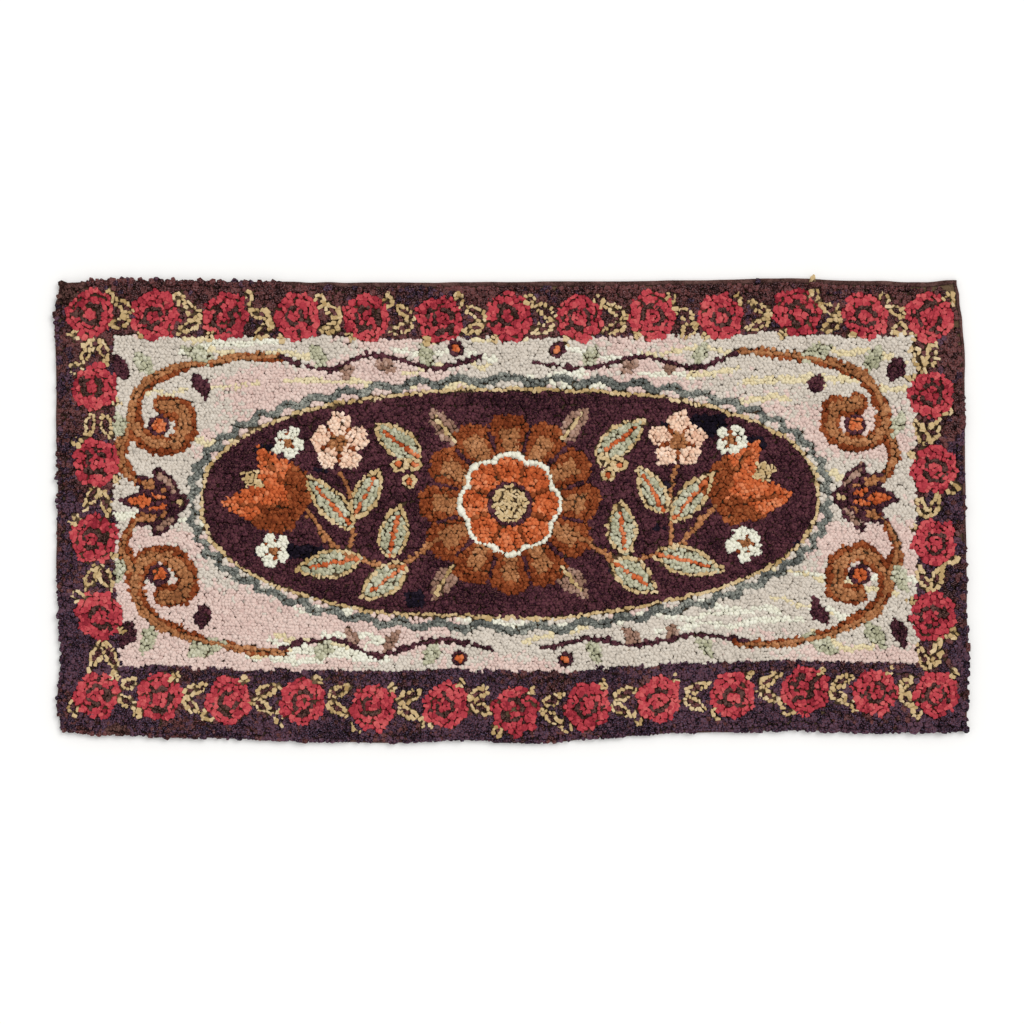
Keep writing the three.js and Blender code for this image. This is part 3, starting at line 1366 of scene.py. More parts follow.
class NodeSheet:
    """A node tree with short ways to add and link nodes."""

    COLOUR_MIX_INPUTS = (0, 6, 7)
    COLOUR_MIX_RESULT = 2

    def __init__(self, tree: bpy.types.NodeTree) -> None:
        """Keeps the tree."""
        self.tree = tree

    def add(self, kind: str, **settings: object) -> bpy.types.Node:
        """Adds a node.

        Args:
            kind: The node's type name, without its ShaderNode prefix.
            settings: Properties to set on it.

        Returns:
            The node.
        """
        node = self.tree.nodes.new(kind if kind.startswith("Node") else f"ShaderNode{kind}")
        for name, value in settings.items():
            setattr(node, name, value)
        return node

    def join(self, source: Socket, target: Socket) -> None:
        """Links an output to an input."""
        self.tree.links.new(source, target)

    def noise(self, place: Socket, scale: float, detail: float) -> Socket:
        """Adds a Noise Texture.

        Args:
            place: Where it is read.
            scale: How fine it is.
            detail: How many finer layers it has.

        Returns:
            Its value.
        """
        node = self.add("TexNoise")
        node.inputs["Scale"].default_value = scale
        node.inputs["Detail"].default_value = detail
        self.join(place, node.inputs["Vector"])
        return node.outputs["Fac"]

    def maths(self, operation: str, first: object, second: object, clamp: bool = False) -> Socket:
        """Adds a Math node.

        Args:
            operation: What it does.
            first: A socket or a number.
            second: A socket or a number.
            clamp: Whether the result is kept between 0 and 1.

        Returns:
            The result.
        """
        node = self.add("Math", operation=operation, use_clamp=clamp)
        for value, socket in zip((first, second), node.inputs):
            self.feed(value, socket)
        return node.outputs[0]

    def feed(self, value: object, socket: Socket) -> None:
        """Gives an input its value.

        Args:
            value: A socket to link to it, or a number to set it to.
            socket: The input.
        """
        if isinstance(value, Socket):
            self.join(value, socket)
        else:
            socket.default_value = value

    def blend(self, share: object, low: Socket, high: Socket, mode: str = "MIX") -> Socket:
        """Adds a colour Mix node.

        Args:
            share: How much of the second colour shows, as a socket or a number.
            low: The first colour.
            high: The second colour.
            mode: How they blend.

        Returns:
            The blended colour.
        """
        node = self.add("Mix", data_type="RGBA", blend_type=mode)
        for value, socket in zip((share, low, high), self.COLOUR_MIX_INPUTS):
            self.feed(value, node.inputs[socket])
        return node.outputs[self.COLOUR_MIX_RESULT]


class EffectGroup(Enum):
    """The shader effects that several finishes share."""

    STRIP_COLOUR = "strip_colour"
    WOVEN_THREADS = "woven_threads"
    FIBRE_FUZZ = "fibre_fuzz"


class GroupSheet(NodeSheet):
    """A node group, with the sockets that it takes from and gives to."""

    def __init__(self, effect: EffectGroup, inputs: dict[str, str], outputs: dict[str, str]) -> None:
        """Starts the group.

        Args:
            effect: Which effect it is.
            inputs: Names and socket types of what it takes.
            outputs: Names and socket types of what it gives.
        """
        super().__init__(bpy.data.node_groups.new(effect.value, "ShaderNodeTree"))
        for way, sockets in (("INPUT", inputs), ("OUTPUT", outputs)):
            for name, kind in sockets.items():
                self.tree.interface.new_socket(name=name, in_out=way, socket_type=kind)
        self.given = self.add("NodeGroupInput").outputs
        self.result = self.add("NodeGroupOutput").inputs


class EffectShop:
    """Builds each shared effect once and places it in materials."""

    COLOUR = "NodeSocketColor"
    FLOAT = "NodeSocketFloat"
    FIBRE_SCALE, FIBRE_DETAIL = 420.0, 3.0
    SPECK_SCALE, SPECK_DETAIL = 700.0, 1.0
    SPECK_EDGE, SPECK_CRISPNESS = 0.75, 8.0
    WAVE_SCALE = 0.314
    SLUB_SCALE = 0.6
    FUZZ_DETAIL, FUZZ_ROUGHNESS = 4.0, 0.62

    def __init__(self) -> None:
        """Builds the groups."""
        self.groups = {
            EffectGroup.STRIP_COLOUR: self.strip_colour(),
            EffectGroup.WOVEN_THREADS: self.woven_threads(),
            EffectGroup.FIBRE_FUZZ: self.fibre_fuzz(),
        }

    def strip_colour(self) -> bpy.types.NodeTree:
        """Builds the colour of rag strips: three tones by strip, flecks, and shade at the root.

        Returns:
            The node group.
        """
        sheet = GroupSheet(
            EffectGroup.STRIP_COLOUR,
            {"Dark": self.COLOUR, "Middle": self.COLOUR, "Light": self.COLOUR, "Fleck": self.COLOUR,
             "Fleck share": self.FLOAT, "Heather": self.FLOAT, "Root shade": self.FLOAT},
            {"Color": self.COLOUR},
        )
        given = sheet.given
        tone = sheet.add("Attribute", attribute_name=TONE).outputs["Fac"]
        crown = sheet.add("Attribute", attribute_name=CROWN).outputs["Fac"]
        place = sheet.add("TexCoord").outputs["Object"]
        fibres = sheet.noise(place, self.FIBRE_SCALE, self.FIBRE_DETAIL)
        uneven = sheet.maths("MULTIPLY", sheet.maths("SUBTRACT", fibres, 0.5), given["Heather"])
        toned = sheet.maths("ADD", tone, uneven, clamp=True)
        lower = sheet.maths("MULTIPLY", toned, 2.0, clamp=True)
        upper = sheet.maths("SUBTRACT", sheet.maths("MULTIPLY", toned, 2.0), 1.0, clamp=True)
        body = sheet.blend(lower, given["Dark"], given["Middle"])
        body = sheet.blend(upper, body, given["Light"])
        specks = sheet.noise(place, self.SPECK_SCALE, self.SPECK_DETAIL)
        above = sheet.maths("SUBTRACT", sheet.maths("ADD", specks, given["Fleck share"]), self.SPECK_EDGE)
        fleck = sheet.maths("MULTIPLY", above, self.SPECK_CRISPNESS, clamp=True)
        body = sheet.blend(fleck, body, given["Fleck"])
        lit = sheet.maths("MULTIPLY", sheet.maths("SUBTRACT", 1.0, given["Root shade"]), crown)
        shade = sheet.maths("ADD", lit, given["Root shade"], clamp=True)
        grey = sheet.add("CombineColor")
        for channel in grey.inputs:
            sheet.join(shade, channel)
        sheet.join(sheet.blend(1.0, body, grey.outputs[0], "MULTIPLY"), sheet.result["Color"])
        return sheet.tree

    def woven_threads(self) -> bpy.types.NodeTree:
        """Builds threads over and under, from a map in millimetres along and across the cloth.

        Returns:
            The node group.
        """
        sheet = GroupSheet(
            EffectGroup.WOVEN_THREADS,
            {"Threads per mm": self.FLOAT, "Slubs": self.FLOAT},
            {"Height": self.FLOAT},
        )
        given = sheet.given
        place = sheet.add("UVMap", uv_map=STRIP_MAP).outputs["UV"]
        scale = sheet.maths("MULTIPLY", given["Threads per mm"], self.WAVE_SCALE)
        heights = []
        for direction in ("X", "Y"):
            wave = sheet.add("TexWave", bands_direction=direction, wave_profile="SIN")
            sheet.join(place, wave.inputs["Vector"])
            sheet.join(scale, wave.inputs["Scale"])
            sheet.join(given["Slubs"], wave.inputs["Distortion"])
            wave.inputs["Detail Scale"].default_value = self.SLUB_SCALE
            heights.append(wave.outputs["Fac"])
        sheet.join(sheet.maths("MAXIMUM", *heights), sheet.result["Height"])
        return sheet.tree

    def fibre_fuzz(self) -> bpy.types.NodeTree:
        """Builds fine fibre fuzz: unevenness of height and of roughness.

        Returns:
            The node group.
        """
        sheet = GroupSheet(
            EffectGroup.FIBRE_FUZZ,
            {"Scale": self.FLOAT, "Least roughness": self.FLOAT},
            {"Height": self.FLOAT, "Roughness": self.FLOAT},
        )
        given = sheet.given
        noise = sheet.add("TexNoise")
        noise.inputs["Detail"].default_value = self.FUZZ_DETAIL
        noise.inputs["Roughness"].default_value = self.FUZZ_ROUGHNESS
        sheet.join(sheet.add("TexCoord").outputs["Object"], noise.inputs["Vector"])
        sheet.join(given["Scale"], noise.inputs["Scale"])
        range_left = sheet.maths("SUBTRACT", 1.0, given["Least roughness"])
        varied = sheet.maths("MULTIPLY", noise.outputs["Fac"], range_left)
        rough = sheet.maths("ADD", varied, given["Least roughness"], clamp=True)
        sheet.join(noise.outputs["Fac"], sheet.result["Height"])
        sheet.join(rough, sheet.result["Roughness"])
        return sheet.tree

    def place(self, sheet: NodeSheet, effect: EffectGroup, values: dict[str, object]) -> bpy.types.Node:
        """Puts an effect in a material.

        Args:
            sheet: The material's nodes.
            effect: The effect.
            values: What its inputs are set to.

        Returns:
            The group node.
        """
        node = sheet.add("Group", node_tree=self.groups[effect])
        for name, value in values.items():
            node.inputs[name].default_value = value
        return node


@dataclass(frozen=True)
class ClothFinish:
    """A cloth: three tones, flecks, and how its threads and fuzz stand."""

    name: str
    dark: str
    middle: str
    light: str
    fleck: str
    fleck_share: float = 0.10
    heather: float = 0.5
    scatter: float = 0.17
    root_shade: float = 0.6
    threads_per_mm: float = 1.1
    slubs: float = 1.2
    fuzz_scale: float = 900.0
    least_roughness: float = 0.78
    gloss: float = 0.06
    thread_depth: float = 0.35
    bump_mm: float = 0.35
    bump_strength: float = 0.6

    def material(self, shop: EffectShop) -> bpy.types.Material:
        """Makes the material.

        Args:
            shop: Where the shared effects come from.

        Returns:
            The material.
        """
        material = bpy.data.materials.new(self.name)
        material.use_nodes = True
        sheet = NodeSheet(material.node_tree)
        shader = material.node_tree.nodes["Principled BSDF"]
        colour = shop.place(sheet, EffectGroup.STRIP_COLOUR, {
            "Dark": linear(self.dark), "Middle": linear(self.middle), "Light": linear(self.light),
            "Fleck": linear(self.fleck), "Fleck share": self.fleck_share, "Heather": self.heather,
            "Root shade": self.root_shade,
        })
        threads = shop.place(sheet, EffectGroup.WOVEN_THREADS, {
            "Threads per mm": self.threads_per_mm, "Slubs": self.slubs,
        })
        fuzz = shop.place(sheet, EffectGroup.FIBRE_FUZZ, {
            "Scale": self.fuzz_scale, "Least roughness": self.least_roughness,
        })
        raised = sheet.maths("MULTIPLY", threads.outputs["Height"], self.thread_depth)
        height = sheet.maths("ADD", raised, fuzz.outputs["Height"])
        bump = sheet.add("Bump")
        bump.inputs["Strength"].default_value = self.bump_strength
        bump.inputs["Distance"].default_value = self.bump_mm * MM
        sheet.join(height, bump.inputs["Height"])
        sheet.join(colour.outputs["Color"], shader.inputs["Base Color"])
        sheet.join(fuzz.outputs["Roughness"], shader.inputs["Roughness"])
        sheet.join(bump.outputs["Normal"], shader.inputs["Normal"])
        shader.inputs["Specular IOR Level"].default_value = self.gloss
        return material


RAG_FINISHES = {
    Lot.BORDER_BROWN: ClothFinish(
        "rag_border_brown", "180a0a", "40201e", "693e3c", "73585a", 0.2, 3.6, 0.28, 0.32,
    ),
    Lot.BORDER_BLACK: ClothFinish(
        "rag_border_black", "11080c", "361f27", "5c3d47", "605166", 0.2, 4.2, 0.28, 0.32,
    ),
    Lot.PLUM_GROUND: ClothFinish("rag_plum", "220d18", "41202b", "60363f", "66463f", 0.18, 3.0, 0.22),
    Lot.MIDNIGHT: ClothFinish("rag_midnight", "0e0a13", "1b141e", "2e2430", "241e38", 0.12, 2.0),
    Lot.ROSE_RED: ClothFinish("rag_rose_red", "7e222d", "b43f48", "ca5f5e", "98303a", 0.1, 0.8, 0.2, 0.36),
    Lot.OLIVE_BROWN: ClothFinish(
        "rag_olive_brown", "23120f", "3e2624", "60413c", "6d5249", 0.18, 3.2, 0.22, 0.36,
    ),
    Lot.STRAW: ClothFinish("rag_straw", "a18454", "c4a97c", "d8c29c", "b49768", 0.1, 0.6),
    Lot.PALE_PINK: ClothFinish("rag_pale_pink", "ccaca3", "ddc3b8", "e6d1c6", "c9a6a0", 0.1, 0.5, 0.1, 0.5),
    Lot.PALE_GREY: ClothFinish("rag_pale_grey", "beb3a5", "d3c8ba", "ded5c8", "b6b0a8", 0.1, 0.5, 0.1, 0.5),
    Lot.CREAM: ClothFinish("rag_cream", "d8d4bc", "e6e3d0", "f0ede0", "d8d8be", 0.1, 0.5, 0.1, 0.6),
    Lot.BUTTER: ClothFinish("rag_butter", "d2be90", "e0d0a8", "e8dcbc", "d8c698", 0.1, 0.5, 0.1, 0.6),
    Lot.RUSSET_DARK: ClothFinish("rag_russet_dark", "5e2814", "8a4424", "ab633b", "6e341b", 0.14, 1.2),
    Lot.RUSSET_LIGHT: ClothFinish("rag_russet_light", "835132", "aa7148", "c48c62", "925d3b", 0.14, 1.2),
    Lot.TERRACOTTA: ClothFinish("rag_terracotta", "9f4522", "cb673a", "df8d62", "b2532c"),
    Lot.SAGE: ClothFinish("rag_sage", "979679", "b9b69a", "d0cdb6", "a4a486"),
    Lot.BLUE_GREY: ClothFinish("rag_blue_grey", "4c4e4b", "747770", "a8a89c", "5c5c5a", 0.2, 2.4),
    Lot.TAUPE: ClothFinish("rag_taupe", "7a5a49", "9f7c6a", "bb9c8c", "8c6858"),
    Lot.PEACH: ClothFinish("rag_peach", "dcac90", "f0cdb2", "f8e2cf", "e0b49c"),
}
TAPE_FINISH = ClothFinish(
    "binding_tape", "2c1b16", "4a322e", "674b46", "6a4a45", fleck_share=0.2, heather=1.6, root_shade=1.0,
    threads_per_mm=0.9, fuzz_scale=600.0, thread_depth=0.8, bump_mm=0.2,
)
FOUNDATION_FINISH = ClothFinish(
    "foundation_burlap", "4a3a2c", "66523e", "7d6850", "3f3226", root_shade=1.0, threads_per_mm=0.45,
    fuzz_scale=500.0, thread_depth=1.4, bump_mm=0.5,
)
STITCH_FINISH = ClothFinish(
    "sewing_thread", "3a2b26", "4d3b34", "625046", "2f231f", root_shade=1.0, threads_per_mm=1.6,
    thread_depth=0.5, bump_mm=0.15,
)


# Rag loops


@dataclass(frozen=True)
class StripCut:
    """How a lot's strips are cut and hooked.

    A loop's span, width, thickness and lift above the rest, the share of the usual unrest in how it
    stands, how far loops turn off their row, in radians, and whether its folds are soft or crisp.
    """

    span: float = 6.0
    width: float = 6.8
    thickness: float = 3.0
    lift: float = 0.0
    unrest: float = 1.0
    turn: float = 0.45
    soft: bool = True


BORDER_CUT = StripCut(6.0, 6.3, 3.2, soft=False)
PALE_CUT = StripCut(6.5, 7.4, 3.0, 0.0, 0.35)
LOT_CUTS = {
    Lot.BORDER_BROWN: BORDER_CUT,
    Lot.BORDER_BLACK: BORDER_CUT,
    Lot.ROSE_RED: StripCut(6.9, 6.0, 3.2, 0.3, 1.25, soft=False),
    Lot.OLIVE_BROWN: StripCut(6.6, 5.2, 2.9, 0.7, 0.6, 0.25, soft=False),
    Lot.STRAW: StripCut(7.3, 4.5, 2.9, 0.6, 1.25, 0.65, soft=False),
    Lot.PALE_PINK: PALE_CUT,
    Lot.PALE_GREY: PALE_CUT,
    Lot.CREAM: PALE_CUT,
    Lot.BUTTER: PALE_CUT,
}


def cut_of(lot: Lot) -> StripCut:
    """How a lot's strips are cut: the usual way where the lot has no cut of its own."""
    return LOT_CUTS.get(lot, StripCut())


@dataclass
class LoopSet:
    """Loops by place on the full rectangle, heading, lot, plumpness and reach beyond the rim."""

    places: Array
    headings: Array
    lots: Array
    plump: Array | float = 1.0
    overhang: Array | float = 0.0


class Stray(NamedTuple):
    """A loop pulled long at the rug's edge: its place, lot, and how far it leans out."""

    x: float
    y: float
    lot: Lot
    lean_x: float
    lean_y: float


def tree_of(places: Array) -> kdtree.KDTree:
    """Makes a search tree.

    Args:
        places: Places on the rug, one to a row.

    Returns:
        The tree, which answers with their numbers.
    """
    tree = kdtree.KDTree(len(places))
    for number, (x, y) in enumerate(places):
        tree.insert((x, y, 0), number)
    tree.balance()
    return tree


@dataclass
class Clumps:
    """Clumps of a few loops that lean together, with cracks between them."""

    rng: Draws
    pitch: float = 17.0
    lean: float = 0.34
    dome: float = 1.3

    STRAY = 0.42
    LEAST_STRENGTH = 0.25
    DOME_MIDDLE, DOME_END = 0.45, 1.4
    PATCH = (90, 60)

    def gather(self, places: Array) -> tuple[Array, Array]:
        """Draws loops towards the nearest clump's middle.

        Args:
            places: The loops' places.

        Returns:
            Each loop's lean, and how much higher it stands than the mean.
        """
        half = OUTLINE.half + self.pitch
        grid = np.stack(np.meshgrid(*(np.arange(-reach, reach, self.pitch) for reach in half)), -1)
        middles = grid.reshape(-1, 2)
        middles = middles + self.rng.uniform(-self.STRAY, self.STRAY, middles.shape) * self.pitch
        tree = tree_of(middles)
        nearest = np.array([tree.find((x, y, 0))[1] for x, y in places])
        towards = (middles[nearest] - places) / (self.pitch / 2)
        patchy = ValueNoise(self.rng, self.PATCH).at(places)
        strength = self.LEAST_STRENGTH + (1 - self.LEAST_STRENGTH) * patchy
        rise = self.DOME_MIDDLE - np.clip((towards**2).sum(axis=1), 0, self.DOME_END)
        rise = self.dome * strength * rise
        return self.lean * strength[:, None] * towards, rise


@dataclass
class HookedPile:
    """All the rag loops, hooked by rows and filling, one piece to each lot."""

    design: RugDesign
    rng: Draws
    pitch: float = 5.5
    cloth_height: float = 3.9
    crown_height: float = 10.3
    foot_height: float = 0.12
    hem_foot_height: float = 2.4
    hem_width: float = 26.0
    inset_left: float = 4.8
    inset_right: float = 4.4
    inset_right_top: float = 7.8
    right_top_end: float = -60.0
    inset_bottom: float = 2.6
    inset_top: float = 10.2
    inset_top_left: float = 3.6
    top_left_end: float = -330.0
    overhang: float = 0.8
    overhang_top_left: float = 4.5
    stray_overhang: float = 12.0
    rim_lean: float = 0.4
    rim_wander: float = 3.4
    settling_rounds: int = 9
    stray_plump: float = 1.25
    strays: tuple[Stray, ...] = (
        Stray(-603, 328, Lot.BORDER_BROWN, 0.1, 0.8),
        Stray(-587, 325, Lot.BORDER_BROWN, 0.0, 0.6),
        Stray(-558, 327, Lot.BORDER_BLACK, -0.1, 0.8),
        Stray(-550, 327, Lot.BORDER_BLACK, 0.1, 0.7),
        Stray(-532, 328, Lot.BORDER_BROWN, -0.1, 0.7),
        Stray(-509, 327, Lot.BORDER_BLACK, 0.2, 0.7),
        Stray(-484, 328, Lot.BORDER_BROWN, 0.0, 0.8),
        Stray(-445, 328, Lot.BORDER_BROWN, 0.0, 0.7),
        Stray(-604, -327, Lot.BORDER_BROWN, 0.0, -0.6),
        Stray(-594, -327, Lot.BORDER_BROWN, 0.2, -0.6),
        Stray(-519, -327, Lot.BORDER_BROWN, -0.1, -0.6),
        Stray(-498, -327, Lot.BORDER_BROWN, 0.1, -0.6),
        Stray(362, 323, Lot.BORDER_BLACK, -0.2, 0.9),
        Stray(440, 323, Lot.STRAW, 0.0, 1.4),
        Stray(643, -285, Lot.MIDNIGHT, 0.9, 0.1),
        Stray(641, -196, Lot.BORDER_BROWN, 0.8, 0.0),
        Stray(-640, -304, Lot.MIDNIGHT, -0.9, -0.1),
        Stray(-300, -325, Lot.BORDER_BROWN, 0.2, -0.8),
    )
    loops: LoopSet = field(init=False)
    wander: ValueNoise = field(init=False)

    CROWDING, CLEARANCE = 0.68, 0.72
    GRID_STRAY, GRID_MARGIN = 0.25, 0.3
    NEIGHBOURS = 5
    FILL_GIVE, ROW_GIVE = 0.25, 0.04
    ROOM, LEAST_GAP = 0.52, 0.2
    LEAN_STRAY, RIM_REACH = 0.13, 0.8
    RIM_LEANS = (0.6, 1.15)
    RIM_GIVE = 0.3
    HEIGHT_STRAY = 0.4
    PLUMP_STRAY = 0.12
    SPANS, WIDTHS, THICKNESSES = (0.8, 1.25), (0.78, 1.15), (0.8, 1.25)
    CROWN_DROP, LIT_SHARE = 0.35, 0.7
    PATCH_WEIGHT = 3
    SAG, RING_STRAY, TWIST, CRUMPLE = 0.5, 0.13, 0.4, 0.14
    STRIP_LENGTH = 15.0
    STRIP_STARTS = (0.0, 50.0)
    BAKE_MARGIN = 0.04
    CAP_WIDTH, CAP_HEIGHT, CAP_GAP = 0.3, 0.7, 0.2
    CAP_STARTS = (0.05, 0.55)
    WANDER_EDGE = 0.6
    WANDER_PATCH, STRIP_PATCH = (70, 70), (48, 20)
    RING_ALONG = np.array([-0.92, -0.56, 0.56, 0.92])
    RING_WIDTH = np.array([0.86, 1.05, 1.05, 0.86])
    CORNER_TURNS = np.radians([12.0, 92.0, 178.0, 272.0])

    def at_top_left(self, places: Array) -> Array:
        """Whether places lie where the loops hang over the top edge."""
        return (places[:, 0] < self.top_left_end) & (places[:, 1] > 0)

    def bounds_at(self, places: Array) -> tuple[Array, Array]:
        """How far out loops may stand.

        Args:
            places: Places on the full rectangle.

        Returns:
            The lowest and highest corner for each place.
        """
        half = OUTLINE.half
        top = np.where(self.at_top_left(places), self.inset_top_left, self.inset_top)
        low = np.tile([self.inset_left - half[0], self.inset_bottom - half[1]], (len(places), 1))
        right = np.where(places[:, 1] > self.right_top_end, self.inset_right_top, self.inset_right)
        high = half - np.column_stack([right, top])
        wander = 2 * self.wander.at(places[:, ::-1]) - self.WANDER_EDGE
        wander = self.rim_wander * np.clip(wander, 0, 1)[:, None]
        return low + wander, high - wander

    def row_loops(self) -> LoopSet:
        """Hooks the design's lines, leaving out loops that would crowd an earlier one.

        Returns:
            The loops that stay.
        """
        lines = self.design.lines()
        rows, turns = zip(*(spaced(line.path, line.pitch) for line in lines))
        counts = [len(row) for row in rows]
        lots = np.repeat([LOT_NUMBER[line.lot] for line in lines], counts)
        sway = np.repeat([line.sway for line in lines], counts)[:, None]
        headings, spots = np.concatenate(turns), np.vstack(rows)
        spots = spots + sway * self.rng.normal(0, 1, spots.shape)
        spots = np.clip(spots, *self.bounds_at(spots))
        crowding = self.CROWDING * self.pitch
        cells: dict[tuple[int, int], list[int]] = {}
        kept = []
        for number, (x, y) in enumerate(spots):
            column, row = int(x // crowding), int(y // crowding)
            near = [
                other
                for step_x in (-1, 0, 1)
                for step_y in (-1, 0, 1)
                for other in cells.get((column + step_x, row + step_y), ())
            ]
            if all(math.dist(spots[other], (x, y)) >= crowding for other in near):
                kept.append(number)
                cells.setdefault((column, row), []).append(number)
        return LoopSet(spots[kept], headings[kept], lots[kept])

    def spread(self, pitch: float) -> Array:
        """Spreads places over the rug.

        Args:
            pitch: Distance between neighbours.

        Returns:
            The places, unevenly set.
        """
        half = OUTLINE.half
        grid = np.array([
            (x + (pitch / 2 if number % 2 else 0.0), y)
            for number, y in enumerate(np.arange(-half[1], half[1], pitch * math.sqrt(3) / 2))
            for x in np.arange(-half[0], half[0], pitch)
        ])
        grid += self.rng.uniform(-self.GRID_STRAY, self.GRID_STRAY, grid.shape) * pitch
        low, high = self.bounds_at(grid)
        margin = self.GRID_MARGIN * pitch
        return grid[np.all((grid > low - margin) & (grid < high + margin), axis=1)]

    def fill_places(self, rows: LoopSet) -> tuple[Array, Array]:
        """Chooses places wherever no row of loops stands.

        Args:
            rows: The rows of loops.

        Returns:
            Places for the filling, and the pitch at each.
        """
        batches = []
        design = self.design
        for pitch in (design.FINE, design.USUAL, design.COARSE, design.COARSEST):
            grid = self.spread(pitch)
            kept = grid[design.pitch_at(grid) == pitch]
            batches.append(np.column_stack([kept, np.full(len(kept), pitch)]))
        *places, pitches = np.vstack(batches).T
        places = np.column_stack(places)
        tree = tree_of(rows.places)
        gaps = np.array([tree.find((x, y, 0))[2] for x, y in places])
        clear = gaps > self.CLEARANCE * self.pitch
        return places[clear], pitches[clear]

    def neighbours(self, places: Array) -> tuple[Array, Array]:
        """Finds each loop's nearest neighbours.

        Args:
            places: All the loops' places.

        Returns:
            The neighbours' numbers and distances.
        """
        tree = tree_of(places)
        found = [tree.find_n((x, y, 0), self.NEIGHBOURS + 1)[1:] for x, y in places]
        near = np.array([[item[1] for item in row] for row in found])
        distance = np.array([[item[2] for item in row] for row in found])
        return near, distance

    def settled(self, places: Array, pitches: Array, drawn_rows: int) -> tuple[Array, Array]:
        """Lets crowded loops push each other apart.

        Args:
            places: All the loops' places, the drawn rows first.
            pitches: The pitch at each.
            drawn_rows: How many of them belong to drawn rows, which hardly give way.

        Returns:
            The settled places, and each loop's mean distance to its neighbours.
        """
        give = np.full((len(places), 1), self.FILL_GIVE)
        give[:drawn_rows] = self.ROW_GIVE
        for _ in range(self.settling_rounds):
            near, distance = self.neighbours(places)
            away = places[:, None, :] - places[near]
            room = self.ROOM * (pitches[:, None] + pitches[near])
            push = np.clip(room - distance, 0, None) / np.maximum(distance, self.LEAST_GAP)
            places = places + give * (away * push[:, :, None]).sum(axis=1)
            places = np.clip(places, *self.bounds_at(places))
        return places, self.neighbours(places)[1].mean(axis=1)

    def hook(self) -> None:
        """Places every loop: drawn rows, filling, then strays at the edge."""
        rows = self.row_loops()
        drawn_rows = len(rows.places)
        filling, fill_pitches = self.fill_places(rows)
        pitches = np.append(np.full(drawn_rows, self.pitch), fill_pitches)
        places, spacing = self.settled(np.vstack([rows.places, filling]), pitches, drawn_rows)
        fill_lots = self.design.lot_at(places[drawn_rows:])
        fill_headings = self.design.headings_at(places[drawn_rows:], fill_lots)
        turns = np.array([cut_of(LOTS[number]).turn for number in rows.lots])
        headings = rows.headings + turns * self.rng.normal(0, 1, drawn_rows)
        strays = self.strays
        overhang = np.where(self.at_top_left(places), self.overhang_top_left, self.overhang)
        self.loops = LoopSet(
            np.vstack([places, [(stray.x, stray.y) for stray in strays]]),
            np.concatenate([headings, fill_headings, self.rng.uniform(0, math.pi, len(strays))]),
            np.concatenate([rows.lots, fill_lots, [LOT_NUMBER[stray.lot] for stray in strays]]),
            np.append(spacing / self.pitch, np.full(len(strays), self.stray_plump)),
            np.append(overhang, np.full(len(strays), self.stray_overhang)),
        )

    def leans(self, places: Array) -> Array:
        """Leans loops a little every way, and outwards at the rim.

        Args:
            places: The loops' places.

        Returns:
            Each loop's lean along and across the rug, as a share of its height.
        """
        lean = self.rng.normal(0, self.LEAN_STRAY, places.shape)
        low, high = self.bounds_at(places)
        reach = self.RIM_REACH * self.pitch
        for edge, sign in ((places - low, -1), (high - places, 1)):
            closeness = np.clip(1 - edge / reach, 0, 1)
            lean += sign * closeness * self.rim_lean * self.rng.uniform(*self.RIM_LEANS, places.shape)
        return lean

    def loop_points(self, members: Array, cut: StripCut, lean: Array, height: Array) -> Array:
        """Bends each loop's strip up out of the cloth and back down.

        Args:
            members: Which loops.
            cut: How their strips are cut.
            lean: Those loops' leans.
            height: Those loops' crown heights.

        Returns:
            Points by loop, ring and corner, in millimetres.
        """
        rng, count, rings = self.rng, len(members), len(self.RING_ALONG)
        plump = self.loops.plump[members] * np.exp(rng.normal(0, self.PLUMP_STRAY, count))
        span = cut.span * plump * rng.uniform(*self.SPANS, count)
        width = cut.width * plump * rng.uniform(*self.WIDTHS, count)
        thick = cut.thickness * rng.uniform(*self.THICKNESSES, count)
        crown = height - self.CROWN_DROP * thick
        foot = self.foot_heights(self.loops.places[members])
        sag = rng.normal(0, self.SAG * cut.unrest, (2, count))
        up = np.column_stack([foot, crown + sag[0], crown + sag[1], foot])
        stray = rng.normal(0, self.RING_STRAY, (count, rings))
        along = span[:, None] / 2 * (self.RING_ALONG + stray)
        step_along, step_up = np.gradient(along, axis=1), np.gradient(up, axis=1)
        step = np.hypot(step_along, step_up)
        normal_along, normal_up = -step_up / step, step_along / step
        twist = np.column_stack([np.ones(rings), np.linspace(-1, 1, rings)])
        twist = rng.normal(0, self.TWIST * cut.unrest, (count, 2)) @ twist.T
        turns = self.CORNER_TURNS + twist[:, :, None]
        crumple = rng.normal(1, self.CRUMPLE, (2, count, rings, len(self.CORNER_TURNS)))
        across = np.cos(turns) * (width[:, None] / 2 * self.RING_WIDTH)[:, :, None] * crumple[0]
        outward = np.sin(turns) * (thick / 2)[:, None, None] * crumple[1]
        local_along = along[:, :, None] + outward * normal_along[:, :, None]
        local_up = up[:, :, None] + outward * normal_up[:, :, None]
        local_up[:, [0, -1], :] = up[:, [0, -1], None]
        heading = self.loops.headings[members][:, None, None]
        above_cloth = np.clip(local_up - self.cloth_height, 0, None)
        x = local_along * np.cos(heading) - across * np.sin(heading) + above_cloth * lean[:, :1, None]
        y = local_along * np.sin(heading) + across * np.cos(heading) + above_cloth * lean[:, 1:, None]
        flat = self.held_in(np.stack([x, y], axis=-1), members)
        return np.concatenate([flat, local_up[..., None]], axis=-1)

